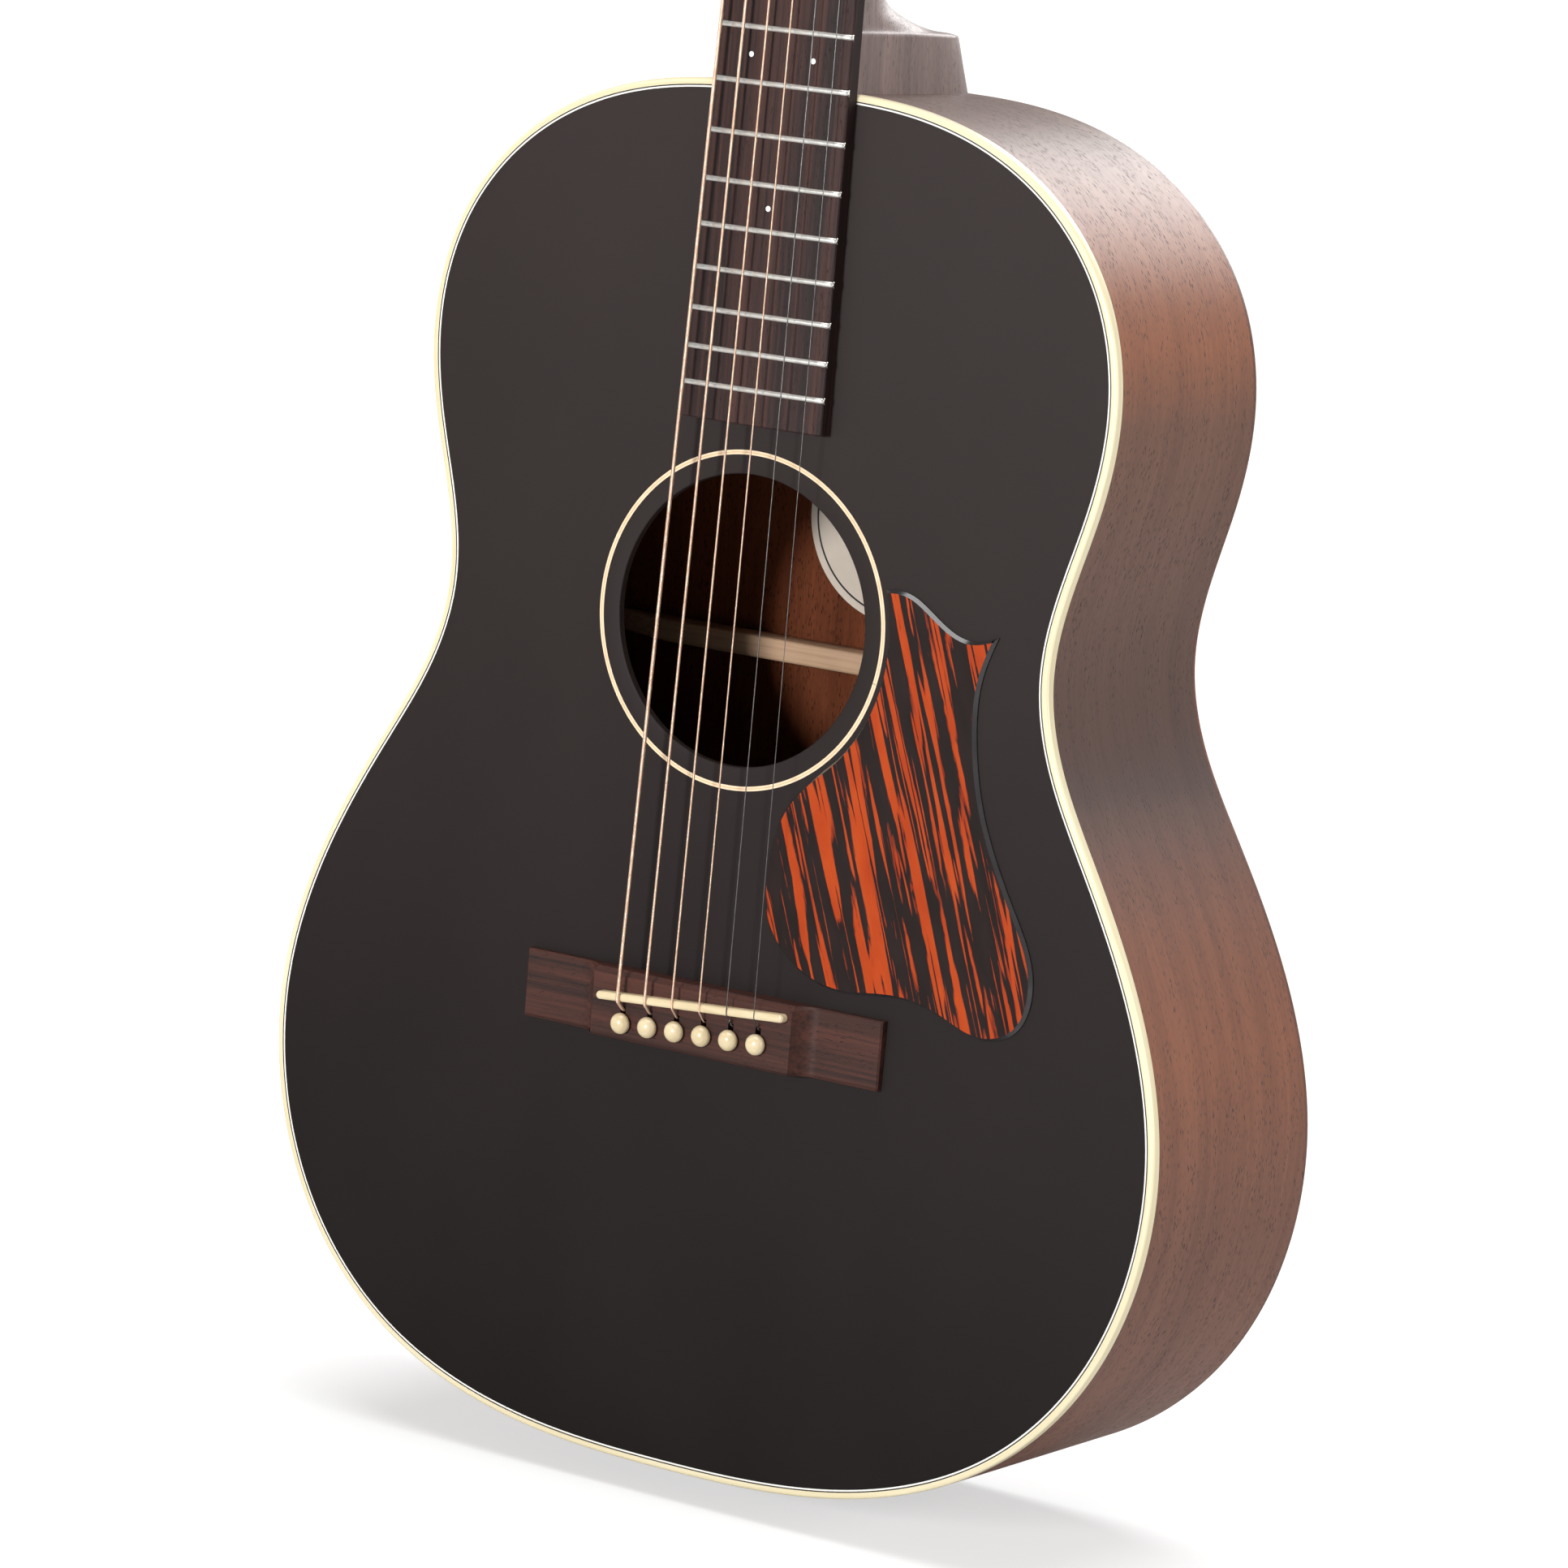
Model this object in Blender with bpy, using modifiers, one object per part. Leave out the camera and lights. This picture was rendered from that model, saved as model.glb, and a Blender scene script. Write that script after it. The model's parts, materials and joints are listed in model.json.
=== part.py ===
"""A steel-string acoustic guitar: slope-shouldered body, black top, mahogany back, sides and neck.

Metres. +Z runs along the neck to the headstock, -Y points out of the soundboard and +X is the
treble side. The origin is the front of the nut, on the centre line and in the soundboard's plane.
Every piece is a separate closed solid with a small gap to its neighbours.
"""

import math

import bmesh
import bpy
import numpy as np
from mathutils import Matrix, Vector

# Driving dimensions
GAP = 0.0003
SCALE_LENGTH = 0.62865
FRET_COUNT = 19

# Half of the body's outline, neck to tail, as (x, z)
BODY_KNOTS = (
    (0.0, -0.3143), (0.040, -0.3155), (0.075, -0.3230), (0.108, -0.3415), (0.131, -0.3700),
    (0.1405, -0.4075), (0.1365, -0.4430), (0.127, -0.4780), (0.1245, -0.5000),
    (0.129, -0.5240), (0.1475, -0.5605), (0.1685, -0.6005), (0.1835, -0.6555),
    (0.181, -0.6950), (0.1645, -0.7365), (0.1295, -0.7730), (0.080, -0.7940), (0.0, -0.8010),
)
BODY_POINTS = 96
WAIST_Z = -0.500
TAIL_Z = BODY_KNOTS[-1][1]
DEPTH_AT_NECK = 0.0915
DEPTH_AT_TAIL = 0.115

TOP_THICK = 0.0028
BACK_THICK = 0.0028
RIB_THICK = 0.0022
BINDING_WIDE = 0.0023
BINDING_DEEP = 0.0038
LINING_WIDE = 0.0050
LINING_DEEP = 0.0140

SOUNDHOLE_Z = -0.4989
SOUNDHOLE_RADIUS = 0.0507
ROSETTE_INNER = 0.0574
ROSETTE_OUTER = 0.0590
ROSETTE_DEEP = 0.0009

BLOCK_HALF = 0.038
NECK_BLOCK_Z = -0.362
TAIL_BLOCK_Z = -0.780

BOARD_THICK = 0.00635
BOARD_END_Z = -0.4309
BOARD_HALF_NUT = 0.0230
BOARD_HALF_END = 0.02925
FRET_WIDE = 0.0020
FRET_HIGH = 0.0010

NECK_DEEP_NUT = 0.0130
HEEL_TENON_HALF = (0.0085, 0.0125)
HEEL_TENON_LONG = 0.018
HEEL_TENON_Y = (0.0072, 0.072)

HEAD_ANGLE = math.radians(15)
HEAD_START_Z = 0.0053
HEAD_THICK = 0.014
HEAD_PLATE = 0.0015
# The headstock's treble edge, nut to crest and just past its middle, as (distance along it, half width)
HEAD_KNOTS = (
    (0.0, 0.0232), (0.008, 0.0245), (0.020, 0.0298), (0.032, 0.0322), (0.060, 0.0333),
    (0.110, 0.0355), (0.160, 0.0377), (0.169, 0.0368), (0.175, 0.0315), (0.1785, 0.020),
    (0.1795, 0.006), (0.1795, -0.006),
)
HEAD_PLATE_START = 0.0008
POST_HOLE = 0.0042
# Half of the truss rod nut's pocket across the headstock, and where it starts and ends along it
ROD_POCKET_HALF = 0.0056
ROD_POCKET = (0.004, 0.022)
ROD_HALF = 0.0030
ROD_Y = (0.0004, 0.0088)
ROD_Z = (-0.300, 0.0030)
ROD_SPARE = 0.0004

STRING_GAUGES = (0.00030, 0.00041, 0.00061, 0.00081, 0.00107, 0.00135)
STRING_STEP_SADDLE = 0.0113
STRING_STEP_NUT = 0.0077
STRING_Y_SADDLE = -0.0126
STRING_Y_NUT = -0.00785

BRIDGE_Z = (-0.6508, -0.6264)
BRIDGE_HALF = 0.0745
BRIDGE_HIGH = 0.0090
WING_HIGH = 0.0031
BRIDGE_BLOCK_HALF = 0.0415
BRIDGE_SCOOP = 0.0055
SADDLE_FOOT_Y = -0.0035
SADDLE_Z = -0.6334
SADDLE_SLANT = 0.0664
SADDLE_HALF = 0.0390
SADDLE_THICK = 0.0030
PIN_Z = -0.6434
PIN_SLANT = 0.0487
PIN_HEAD = 0.00375
GUARD_RADIUS = 0.0609
GUARD_FACE_Y = -0.0019

POST_SPACING = 0.036
POST_RADIUS = 0.0031
POST_SIDES = 12
WORM_OFFSET = 0.0092
WORM_RADIUS = 0.0026
SHAFT_RADIUS = 0.00145
GEAR_RADIUS = 0.0060
GEAR_DEEP = 0.0030
TUNER_PLATE = 0.0010
LUG_X = 0.0054
LUG_HALF = (0.0006, 0.0033)
LUG_DEEP = 0.0032
LUG_BORE = 0.0018
TUNER_FLARE = math.radians(2.5)

# Drawn this much larger while an outline is filled, so that the fill keeps fine features.
DRAW_SCALE = 1000.0

LOOKS = {
    "black_lacquer": ((0.020, 0.016, 0.015), 0.35, 0.0),
    "cream_plastic": ((0.90, 0.84, 0.66), 0.35, 0.0),
    "mahogany": ((0.26, 0.12, 0.075), 0.45, 0.0),
    "dark_mahogany": ((0.060, 0.040, 0.035), 0.50, 0.0),
    "spruce": ((0.62, 0.44, 0.26), 0.60, 0.0),
    "rosewood": ((0.075, 0.038, 0.030), 0.50, 0.0),
    "bone": ((0.86, 0.78, 0.58), 0.35, 0.0),
    "firestripe": ((0.55, 0.10, 0.03), 0.25, 0.0),
    "nickel": ((0.70, 0.68, 0.64), 0.25, 1.0),
    "bronze": ((0.72, 0.42, 0.24), 0.30, 1.0),
    "steel": ((0.60, 0.60, 0.60), 0.25, 1.0),
    "ebony": ((0.012, 0.010, 0.009), 0.35, 0.0),
}


# Scene

def clear_scene():
    for thing in list(bpy.data.objects):
        bpy.data.objects.remove(thing)


def new_collection(name):
    made = bpy.data.collections.new(name)
    bpy.context.scene.collection.children.link(made)
    return made


def new_material(name, colour, roughness, metallic):
    made = bpy.data.materials.new(name)
    made.use_nodes = True
    shader = made.node_tree.nodes["Principled BSDF"]
    shader.inputs["Base Color"].default_value = (*colour, 1.0)
    shader.inputs["Roughness"].default_value = roughness
    shader.inputs["Metallic"].default_value = metallic
    made.diffuse_color = (*colour, 1.0)
    return made


clear_scene()
PARTS = new_collection("acoustic_guitar")
CUTTERS = new_collection("cutters")


def add_object(name, mesh, look, matrix=None, parent=None):
    """Puts a mesh in the scene as a part, or as a cutter where look is None."""
    thing = bpy.data.objects.new(name, mesh)
    if look is None:
        CUTTERS.objects.link(thing)
        thing.hide_render = True
        thing.display_type = "WIRE"
    else:
        PARTS.objects.link(thing)
        mesh.materials.append(new_material(name, *LOOKS[look]))
    thing.parent = parent
    if matrix is not None:
        thing.matrix_local = matrix
    return thing


def add_frame(name, matrix, parent=None):
    """An empty that holds pieces in a frame of their own."""
    frame = bpy.data.objects.new(name, None)
    PARTS.objects.link(frame)
    frame.parent = parent
    frame.matrix_local = matrix
    return frame


def smooth(thing, degrees=40):
    thing.data.shade_smooth()
    thing.data.set_sharp_from_angle(angle=math.radians(degrees))


def finish_mesh(work, name):
    """The mesh, with all of its faces pointing outwards."""
    bmesh.ops.recalc_face_normals(work, faces=work.faces)
    if work.calc_volume(signed=True) < 0:
        bmesh.ops.reverse_faces(work, faces=work.faces)
    mesh = bpy.data.meshes.new(name)
    work.to_mesh(mesh)
    work.free()
    return mesh


def cut(thing, *cutters):
    for cutter in cutters:
        boolean = thing.modifiers.new(cutter.name, "BOOLEAN")
        boolean.operation = "DIFFERENCE"
        boolean.solver = "EXACT"
        boolean.object = cutter


def join(thing, *others):
    for other in others:
        boolean = thing.modifiers.new(other.name, "BOOLEAN")
        boolean.operation = "UNION"
        boolean.solver = "EXACT"
        boolean.object = other


# Solids

def filled(name, loops, place, look, matrix=None, parent=None):
    """A closed solid between two copies of a filled outline.

    place(a, b, near) gives the position of the outline's point (a, b) on the near or far copy.
    """
    curve = bpy.data.curves.new(name, "CURVE")
    curve.dimensions = "2D"
    curve.fill_mode = "BOTH"
    curve.extrude = 0.5
    for loop in loops:
        spline = curve.splines.new("POLY")
        spline.points.add(len(loop) - 1)
        for point, (a, b) in zip(spline.points, loop):
            point.co = (a * DRAW_SCALE, b * DRAW_SCALE, 0.0, 1.0)
        spline.use_cyclic_u = True
    guide = bpy.data.objects.new(name, curve)
    CUTTERS.objects.link(guide)
    graph = bpy.context.evaluated_depsgraph_get()
    drawn = bpy.data.meshes.new_from_object(guide.evaluated_get(graph))
    bpy.data.objects.remove(guide)
    work = bmesh.new()
    work.from_mesh(drawn)
    bmesh.ops.remove_doubles(work, verts=work.verts, dist=1e-5 * DRAW_SCALE)
    for vertex in work.verts:
        a, b, side = vertex.co
        vertex.co = place(a / DRAW_SCALE, b / DRAW_SCALE, side > 0)
    return add_object(name, finish_mesh(work, name), look, matrix, parent)


def slab(name, loops, front, back, look):
    """A plate whose outline lies in the XZ plane, from y = front to y = back.

    front and back are numbers, or functions of z.
    """
    def level(limit, z):
        return limit(z) if callable(limit) else limit

    def place(x, z, near):
        return (x, level(front if near else back, z), z)

    return filled(name, loops, place, look)


def box(name, low, high, look, matrix=None, parent=None):
    low, high = Vector(low), Vector(high)
    work = bmesh.new()
    bmesh.ops.create_cube(work, size=1.0)
    for vertex in work.verts:
        vertex.co = [(low[k] + high[k]) / 2 + vertex.co[k] * (high[k] - low[k]) for k in range(3)]
    return add_object(name, finish_mesh(work, name), look, matrix, parent)


def turned(name, profile, look, matrix=None, parent=None, steps=16, reshape=None):
    """A profile of (radius, height) points, top to bottom, turned about its own Z axis."""
    work = bmesh.new()
    points = [work.verts.new((radius, 0.0, height)) for radius, height in profile]
    for first, second in zip(points, points[1:]):
        work.edges.new((first, second))
    mesh = bpy.data.meshes.new(name)
    work.to_mesh(mesh)
    work.free()
    guide = bpy.data.objects.new(name, mesh)
    CUTTERS.objects.link(guide)
    screw = guide.modifiers.new("turn", "SCREW")
    screw.steps = steps
    screw.render_steps = steps
    screw.use_merge_vertices = True
    screw.merge_threshold = 1e-5
    graph = bpy.context.evaluated_depsgraph_get()
    solid = bpy.data.meshes.new_from_object(guide.evaluated_get(graph))
    bpy.data.objects.remove(guide)
    if reshape:
        for vertex in solid.vertices:
            vertex.co = reshape(vertex.co)
    thing = add_object(name, solid, look, matrix, parent)
    smooth(thing)
    return thing


def cylinder(name, radius, low, high, look, matrix=None, parent=None, steps=16):
    profile = ((0.0, high), (radius, high), (radius, low), (0.0, low))
    return turned(name, profile, look, matrix, parent, steps)


def loft(name, sections, look):
    """A skin over rings with the same number of points, its two ends closed."""
    work = bmesh.new()
    rings = [[work.verts.new(point) for point in section] for section in sections]
    count = len(rings[0])
    for first, second in zip(rings, rings[1:]):
        for k in range(count):
            after = (k + 1) % count
            work.faces.new((first[k], first[after], second[after], second[k]))
    work.faces.new(rings[0])
    work.faces.new(rings[-1])
    thing = add_object(name, finish_mesh(work, name), look)
    smooth(thing)
    return thing


# Outlines

def cubic(knots, count, closed=True):
    """Evenly spaced points on the cubic spline through these knots."""
    knots = np.array(knots, float)
    total = len(knots)
    span = np.linalg.norm(np.roll(knots, -1, axis=0) - knots, axis=1)
    if not closed:
        span = span[:-1]
    system = np.identity(total)
    wanted = np.zeros(knots.shape)
    for i in range(total) if closed else range(1, total - 1):
        after = (i + 1) % total
        system[i, i - 1] = span[i - 1]
        system[i, i] = 2 * (span[i - 1] + span[i])
        system[i, after] = span[i]
        wanted[i] = 6 * ((knots[after] - knots[i]) / span[i] - (knots[i] - knots[i - 1]) / span[i - 1])
    bend = np.linalg.solve(system, wanted)
    reached = np.concatenate([[0.0], np.cumsum(span)])
    points = []
    for distance in np.linspace(0.0, reached[-1], count, endpoint=not closed):
        i = min(np.searchsorted(reached, distance, side="right") - 1, len(span) - 1)
        after = (i + 1) % total
        far = (distance - reached[i]) / span[i]
        near = 1 - far
        curve = (near**3 - near) * bend[i] + (far**3 - far) * bend[after]
        points.append(near * knots[i] + far * knots[after] + curve * span[i] ** 2 / 6)
    return np.array(points)


def inset(loop, distance):
    """A closed loop moved inwards, its sides kept parallel."""
    sides = np.roll(loop, -1, axis=0) - loop
    area = np.sum(loop[:, 0] * sides[:, 1] - loop[:, 1] * sides[:, 0])
    along = sides / np.linalg.norm(sides, axis=1)[:, None]
    inward = np.stack([-along[:, 1], along[:, 0]], axis=1) * np.sign(area)
    before = np.roll(inward, 1, axis=0)
    mitre = (before + inward) / (1 + np.sum(before * inward, axis=1))[:, None]
    return loop + distance * mitre


def circle(centre, radius, count=40):
    turns = np.linspace(0, 2 * math.pi, count, endpoint=False)
    return np.stack([centre[0] + radius * np.cos(turns), centre[1] + radius * np.sin(turns)], axis=1)


def rectangle(low, high):
    return [(low[0], low[1]), (high[0], low[1]), (high[0], high[1]), (low[0], high[1])]


def body_outline():
    mirrored = [(-x, z) for x, z in BODY_KNOTS[-2:0:-1]]
    return cubic(BODY_KNOTS + tuple(mirrored), BODY_POINTS)


BODY = body_outline()
INSIDE = RIB_THICK + GAP


def right_half(by):
    return inset(BODY, by)[: BODY_POINTS // 2 + 1]


def crossing(path, x):
    """Height z at which a run of two points reaches this x."""
    (x0, z0), (x1, z1) = path
    return z0 + (z1 - z0) * (x - x0) / (x1 - x0)


def clipped_half(by, neck_x, tail_x):
    """The body's right half, inset, from neck_x at the neck to tail_x at the tail."""
    path = right_half(by)
    start = int(np.argmax(path[:, 0] > neck_x))
    end = len(path) - 1 - int(np.argmax(path[::-1, 0] > tail_x))
    first = (neck_x, crossing(path[start - 1 : start + 1], neck_x))
    last = (tail_x, crossing(path[end : end + 2], tail_x))
    return [first, *map(tuple, path[start : end + 1]), last]


def side_strip(outer, inner, side, neck_x, tail_x):
    """Outline of one side's strip, between two insets of the body."""
    loop = clipped_half(outer, neck_x, tail_x) + clipped_half(inner, neck_x, tail_x)[::-1]
    return [(side * x, z) for x, z in loop]


def half_width(z, by):
    """Half the body's width at this height, inset."""
    path = right_half(by)
    return float(np.interp(-z, -path[:, 1], path[:, 0]))


def depth(z):
    """The outer face of the back: y at this height."""
    share = (z - BODY_KNOTS[0][1]) / (TAIL_Z - BODY_KNOTS[0][1])
    return DEPTH_AT_NECK + share * (DEPTH_AT_TAIL - DEPTH_AT_NECK)


def back_inside(z):
    return depth(z) - BACK_THICK - GAP


def string_x(number, step):
    """Strings count from 1, the thinnest, on the treble side, to 6."""
    return (3.5 - number) * step


# Body

def make_box():
    sound_hole = circle((0, SOUNDHOLE_Z), SOUNDHOLE_RADIUS)
    top = slab("soundboard", [inset(BODY, BINDING_WIDE + GAP), sound_hole], 0.0, TOP_THICK, "black_lacquer")
    groove = [
        circle((0, SOUNDHOLE_Z), ROSETTE_OUTER + GAP),
        circle((0, SOUNDHOLE_Z), ROSETTE_INNER - GAP),
    ]
    cut(top, slab("rosette_groove", groove, -0.001, ROSETTE_DEEP + GAP, None))
    ring = [circle((0, SOUNDHOLE_Z), ROSETTE_OUTER), circle((0, SOUNDHOLE_Z), ROSETTE_INNER)]
    slab("rosette", ring, 0.0, ROSETTE_DEEP, "cream_plastic")
    slab("binding", [BODY, inset(BODY, BINDING_WIDE)], 0.0, BINDING_DEEP, "cream_plastic")
    slab("back", [BODY], lambda z: depth(z) - BACK_THICK, depth, "mahogany")
    end_pin_bore = cylinder("end_pin_bore", END_PIN_BORE, -0.030, 0.010, None, END_PIN_FRAME)
    neck_x = HEEL_TENON_HALF[1] + 2 * GAP
    for name, side in (("bass", -1), ("treble", 1)):
        outline = side_strip(0.0, RIB_THICK, side, neck_x, GAP / 2)
        rib = slab(f"rib_{name}", [outline], BINDING_DEEP + GAP, back_inside, "mahogany")
        cut(rib, end_pin_bore)
        block_x = BLOCK_HALF + GAP
        outline = side_strip(INSIDE, INSIDE + LINING_WIDE, side, block_x, block_x)
        front = TOP_THICK + GAP
        slab(f"lining_top_{name}", [outline], front, front + LINING_DEEP, "mahogany")
        slab(
            f"lining_back_{name}", [outline],
            lambda z: back_inside(z) - LINING_DEEP, back_inside, "mahogany",
        )
    make_blocks(end_pin_bore)


def block_outline(at_neck, inner_z):
    """A block that fits the ribs on one face and is straight on the others."""
    path = right_half(INSIDE)
    near = path[(path[:, 0] < BLOCK_HALF) & ((path[:, 1] > WAIST_Z) == at_neck)]
    near = near[np.argsort(near[:, 0])]
    side = path if at_neck else path[::-1]
    past = int(np.argmax(side[:, 0] > BLOCK_HALF))
    corner = (BLOCK_HALF, crossing(side[past - 1 : past + 1], BLOCK_HALF))
    right = [*map(tuple, near[1:]), corner, (BLOCK_HALF, inner_z)]
    left = [(-x, z) for x, z in right[::-1]]
    return left + [tuple(near[0])] + right


def tenon_outline(spare):
    """The neck's dovetail, wider inside the block than at the heel, which it reaches into."""
    inside_heel = 0.004
    near, far = HEEL_TENON_HALF
    start = BODY_KNOTS[0][1]
    end = start - HEEL_TENON_LONG
    near -= (far - near) * inside_heel / HEEL_TENON_LONG
    start += inside_heel
    near += spare
    far += spare
    return [(-near, start), (near, start), (far, end - spare), (-far, end - spare)]


def make_blocks(end_pin_bore):
    front = TOP_THICK + GAP
    block = slab("neck_block", [block_outline(True, NECK_BLOCK_Z)], front, back_inside, "mahogany")
    low, high = HEEL_TENON_Y
    cut(block, slab("tenon_slot", [tenon_outline(GAP)], low - GAP, high + GAP, None))
    block = slab("tail_block", [block_outline(False, TAIL_BLOCK_Z)], front, back_inside, "mahogany")
    cut(block, end_pin_bore)


# Bracing

def brace(name, start, end, wide, high, glued, inward, end_high=0.003, run_out=0.03):
    """A bar from start to end, (x, z) each, with thin ends; glued(z) is the face it sits on."""
    start, end = np.array(start), np.array(end)
    length = float(np.linalg.norm(end - start))
    along = (end - start) / length
    across = np.array([-along[1], along[0]])
    profile = [
        (0.0, 0.0), (0.0, end_high), (run_out, high), (length - run_out, high),
        (length, end_high), (length, 0.0),
    ]

    def place(distance, rise, near):
        x, z = start + along * distance + across * (wide / 2 if near else -wide / 2)
        return (x, glued(z) + inward * rise, z)

    return filled(name, [profile], place, "spruce")


X_CROSS = (0.0, -0.588)
X_HALF_ANGLE = math.radians(49)
X_WIDE = 0.008
X_HIGH = 0.012
X_LAP = 0.03
BRACE_END_SPARE = 0.003
TRANSVERSE_Z = -0.4415
# (height z, how high the brace stands)
BACK_BRACES = ((-0.395, 0.014), (-0.520, 0.014), (-0.622, 0.010), (-0.722, 0.010))


def x_brace_ends(side):
    """Upper end on the other side and lower end on this side of the centre line."""
    along = np.array([math.sin(X_HALF_ANGLE), math.cos(X_HALF_ANGLE)])
    ends = []
    for way in (1, -1):
        reach = 0.02
        while True:
            x, z = np.array(X_CROSS) + way * along * reach
            if abs(x) > half_width(z, INSIDE + LINING_WIDE) - 0.006:
                break
            reach += 0.001
        ends.append((-side * x, z))
    return ends


def make_braces():
    front = TOP_THICK + GAP

    def top_face(_):
        return front

    bars = {}
    for number, side in ((1, 1), (2, -1)):
        upper, lower = x_brace_ends(side)
        bars[number] = brace(f"x_brace_{number}", upper, lower, X_WIDE, X_HIGH, top_face, 1)
    half = X_WIDE / 2 + GAP
    for number, side in ((1, -1), (2, 1)):
        along = np.array([side * math.sin(X_HALF_ANGLE), math.cos(X_HALF_ANGLE)])
        across = np.array([-along[1], along[0]])
        outline = [
            np.array(X_CROSS) + along * a * X_LAP + across * b * half
            for a, b in ((-1, -1), (1, -1), (1, 1), (-1, 1))
        ]
        middle = front + X_HIGH / 2
        low, high = (middle - GAP, 0.03) if number == 1 else (-0.01, middle + GAP)
        cut(bars[number], slab(f"x_lap_{number}", [outline], low, high, None))

    z = TRANSVERSE_Z
    reach = half_width(z, INSIDE + LINING_WIDE) - BRACE_END_SPARE
    brace("transverse_brace", (-reach, z), (reach, z), 0.010, 0.012, top_face, 1)
    brace("tone_bar_upper", (0.070, -0.676), (-0.095, -0.745), 0.007, 0.012, top_face, 1)
    brace("tone_bar_lower", (0.100, -0.710), (-0.045, -0.770), 0.007, 0.010, top_face, 1)

    strip_half = 0.007
    strip_thick = 0.002
    outline = rectangle((-strip_half, TAIL_BLOCK_Z + GAP), (strip_half, NECK_BLOCK_Z - GAP))
    slab("back_strip", [outline], lambda z: back_inside(z) - strip_thick, back_inside, "spruce")
    room = strip_half + GAP
    outline = rectangle((-room, TAIL_BLOCK_Z), (room, NECK_BLOCK_Z))
    notch = slab(
        "back_strip_notch", [outline],
        lambda z: back_inside(z) - strip_thick - GAP, lambda z: back_inside(z) + 0.002, None,
    )
    for number, (z, high) in enumerate(BACK_BRACES, 1):
        reach = half_width(z, INSIDE + LINING_WIDE) - BRACE_END_SPARE
        bar = brace(f"back_brace_{number}", (-reach, z), (reach, z), 0.008, high, back_inside, -1)
        cut(bar, notch)


# Bridge

def keyholes():
    """Holes for the six pins, each with a slot towards the saddle for its string."""
    loops = []
    slot_half, slot_long, radius = 0.0011, 0.0058, 0.0030
    for number in range(1, 7):
        x, z = pin_place(number)
        start = math.asin(slot_half / radius)
        turns = np.linspace(math.pi / 2 + start, 5 * math.pi / 2 - start, 10)
        round_part = [(x + radius * math.cos(t), z + radius * math.sin(t)) for t in turns]
        loops.append(round_part + [(x + slot_half, z + slot_long), (x - slot_half, z + slot_long)])
    return loops


def pin_place(number):
    x = string_x(number, STRING_STEP_SADDLE)
    return x, PIN_Z + PIN_SLANT * x


def saddle_outline(spare):
    thick = SADDLE_THICK / 2 + spare
    half = SADDLE_HALF + spare
    centre = 0.0008
    ends = [(centre - half, SADDLE_Z - SADDLE_SLANT * half), (centre + half, SADDLE_Z + SADDLE_SLANT * half)]
    return [
        (ends[0][0], ends[0][1] - thick), (ends[1][0], ends[1][1] - thick),
        (ends[1][0], ends[1][1] + thick), (ends[0][0], ends[0][1] + thick),
    ]


def bridge_profile():
    """Cross-section along X: flat wings, a scooped step and a raised middle."""
    step = BRIDGE_HIGH - WING_HIGH
    scoop = [
        (BRIDGE_BLOCK_HALF + BRIDGE_SCOOP * (1 - math.sin(t)), WING_HIGH + step * (1 - math.cos(t)))
        for t in np.linspace(0, math.pi / 2, 5)
    ]
    right = [(BRIDGE_HALF, GAP), (BRIDGE_HALF, WING_HIGH), *scoop]
    return right + [(-x, y) for x, y in right[::-1]]


def make_bridge():
    holes = slab("pin_holes", keyholes(), -0.02, 0.01, None)

    def place(x, rise, near):
        return (x, -rise, BRIDGE_Z[1] if near else BRIDGE_Z[0])

    bridge = filled("bridge", [bridge_profile()], place, "rosewood")
    cut(bridge, slab("saddle_slot", [saddle_outline(GAP)], -0.02, SADDLE_FOOT_Y, None), holes)
    slab("saddle", [saddle_outline(0.0)], STRING_Y_SADDLE + GAP, SADDLE_FOOT_Y - GAP, "bone")
    plate = [(-0.024, -0.621), (0.024, -0.621), (0.068, -0.660), (-0.068, -0.660)]
    front = TOP_THICK + GAP
    bridge_plate = slab("bridge_plate", [plate], front, front + 0.0025, "spruce")
    cut(bridge_plate, holes)
    cut(bpy.data.objects["soundboard"], holes)

    dome = [
        (PIN_HEAD * math.sin(t), 0.0034 * math.cos(t)) for t in np.linspace(0.0, math.pi / 2, 6)
    ]
    shank = [(0.0026, 0.0), (0.0021, -0.0210), (0.0, -0.0217)]
    for number in range(1, 7):
        x, z = pin_place(number)
        frame = Matrix.Translation((x, -BRIDGE_HIGH - GAP, z)) @ Matrix.Rotation(math.pi / 2, 4, "X")
        turned(f"bridge_pin_{number}", dome + shank, "bone", frame, steps=10)


# Pickguard and end pin

def make_pickguard():
    ring_corner = (0.0384, -0.5461)
    upper_corner = (0.0580, -0.4796)
    tip = (0.1043, -0.4894)
    upper = cubic([upper_corner, (0.066, -0.4794), (0.080, -0.4866), (0.0935, -0.4921), tip], 10, False)
    outer = cubic(
        [tip, (0.0995, -0.504), (0.0995, -0.526), (0.1045, -0.548), (0.121, -0.581), (0.1305, -0.603),
         (0.1255, -0.6215), (0.112, -0.6262), (0.093, -0.6203), (0.077, -0.618), (0.052, -0.6197),
         (0.034, -0.613), (0.023, -0.6005), (0.021, -0.580), (0.0265, -0.5595), ring_corner],
        44, False,
    )
    start = math.atan2(ring_corner[1] - SOUNDHOLE_Z, ring_corner[0])
    end = math.atan2(upper_corner[1] - SOUNDHOLE_Z, upper_corner[0])
    arc = [
        (GUARD_RADIUS * math.cos(t), SOUNDHOLE_Z + GUARD_RADIUS * math.sin(t))
        for t in np.linspace(start, end, 10)[1:-1]
    ]
    loop = [*map(tuple, upper[:-1]), *map(tuple, outer), *arc]
    slab("pickguard", [loop], GUARD_FACE_Y, -GAP, "firestripe")


END_PIN_BORE = 0.0054
END_PIN_FRAME = Matrix.Translation((0.0, 0.057, TAIL_Z)) @ Matrix.Rotation(math.pi, 4, "X")


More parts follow.
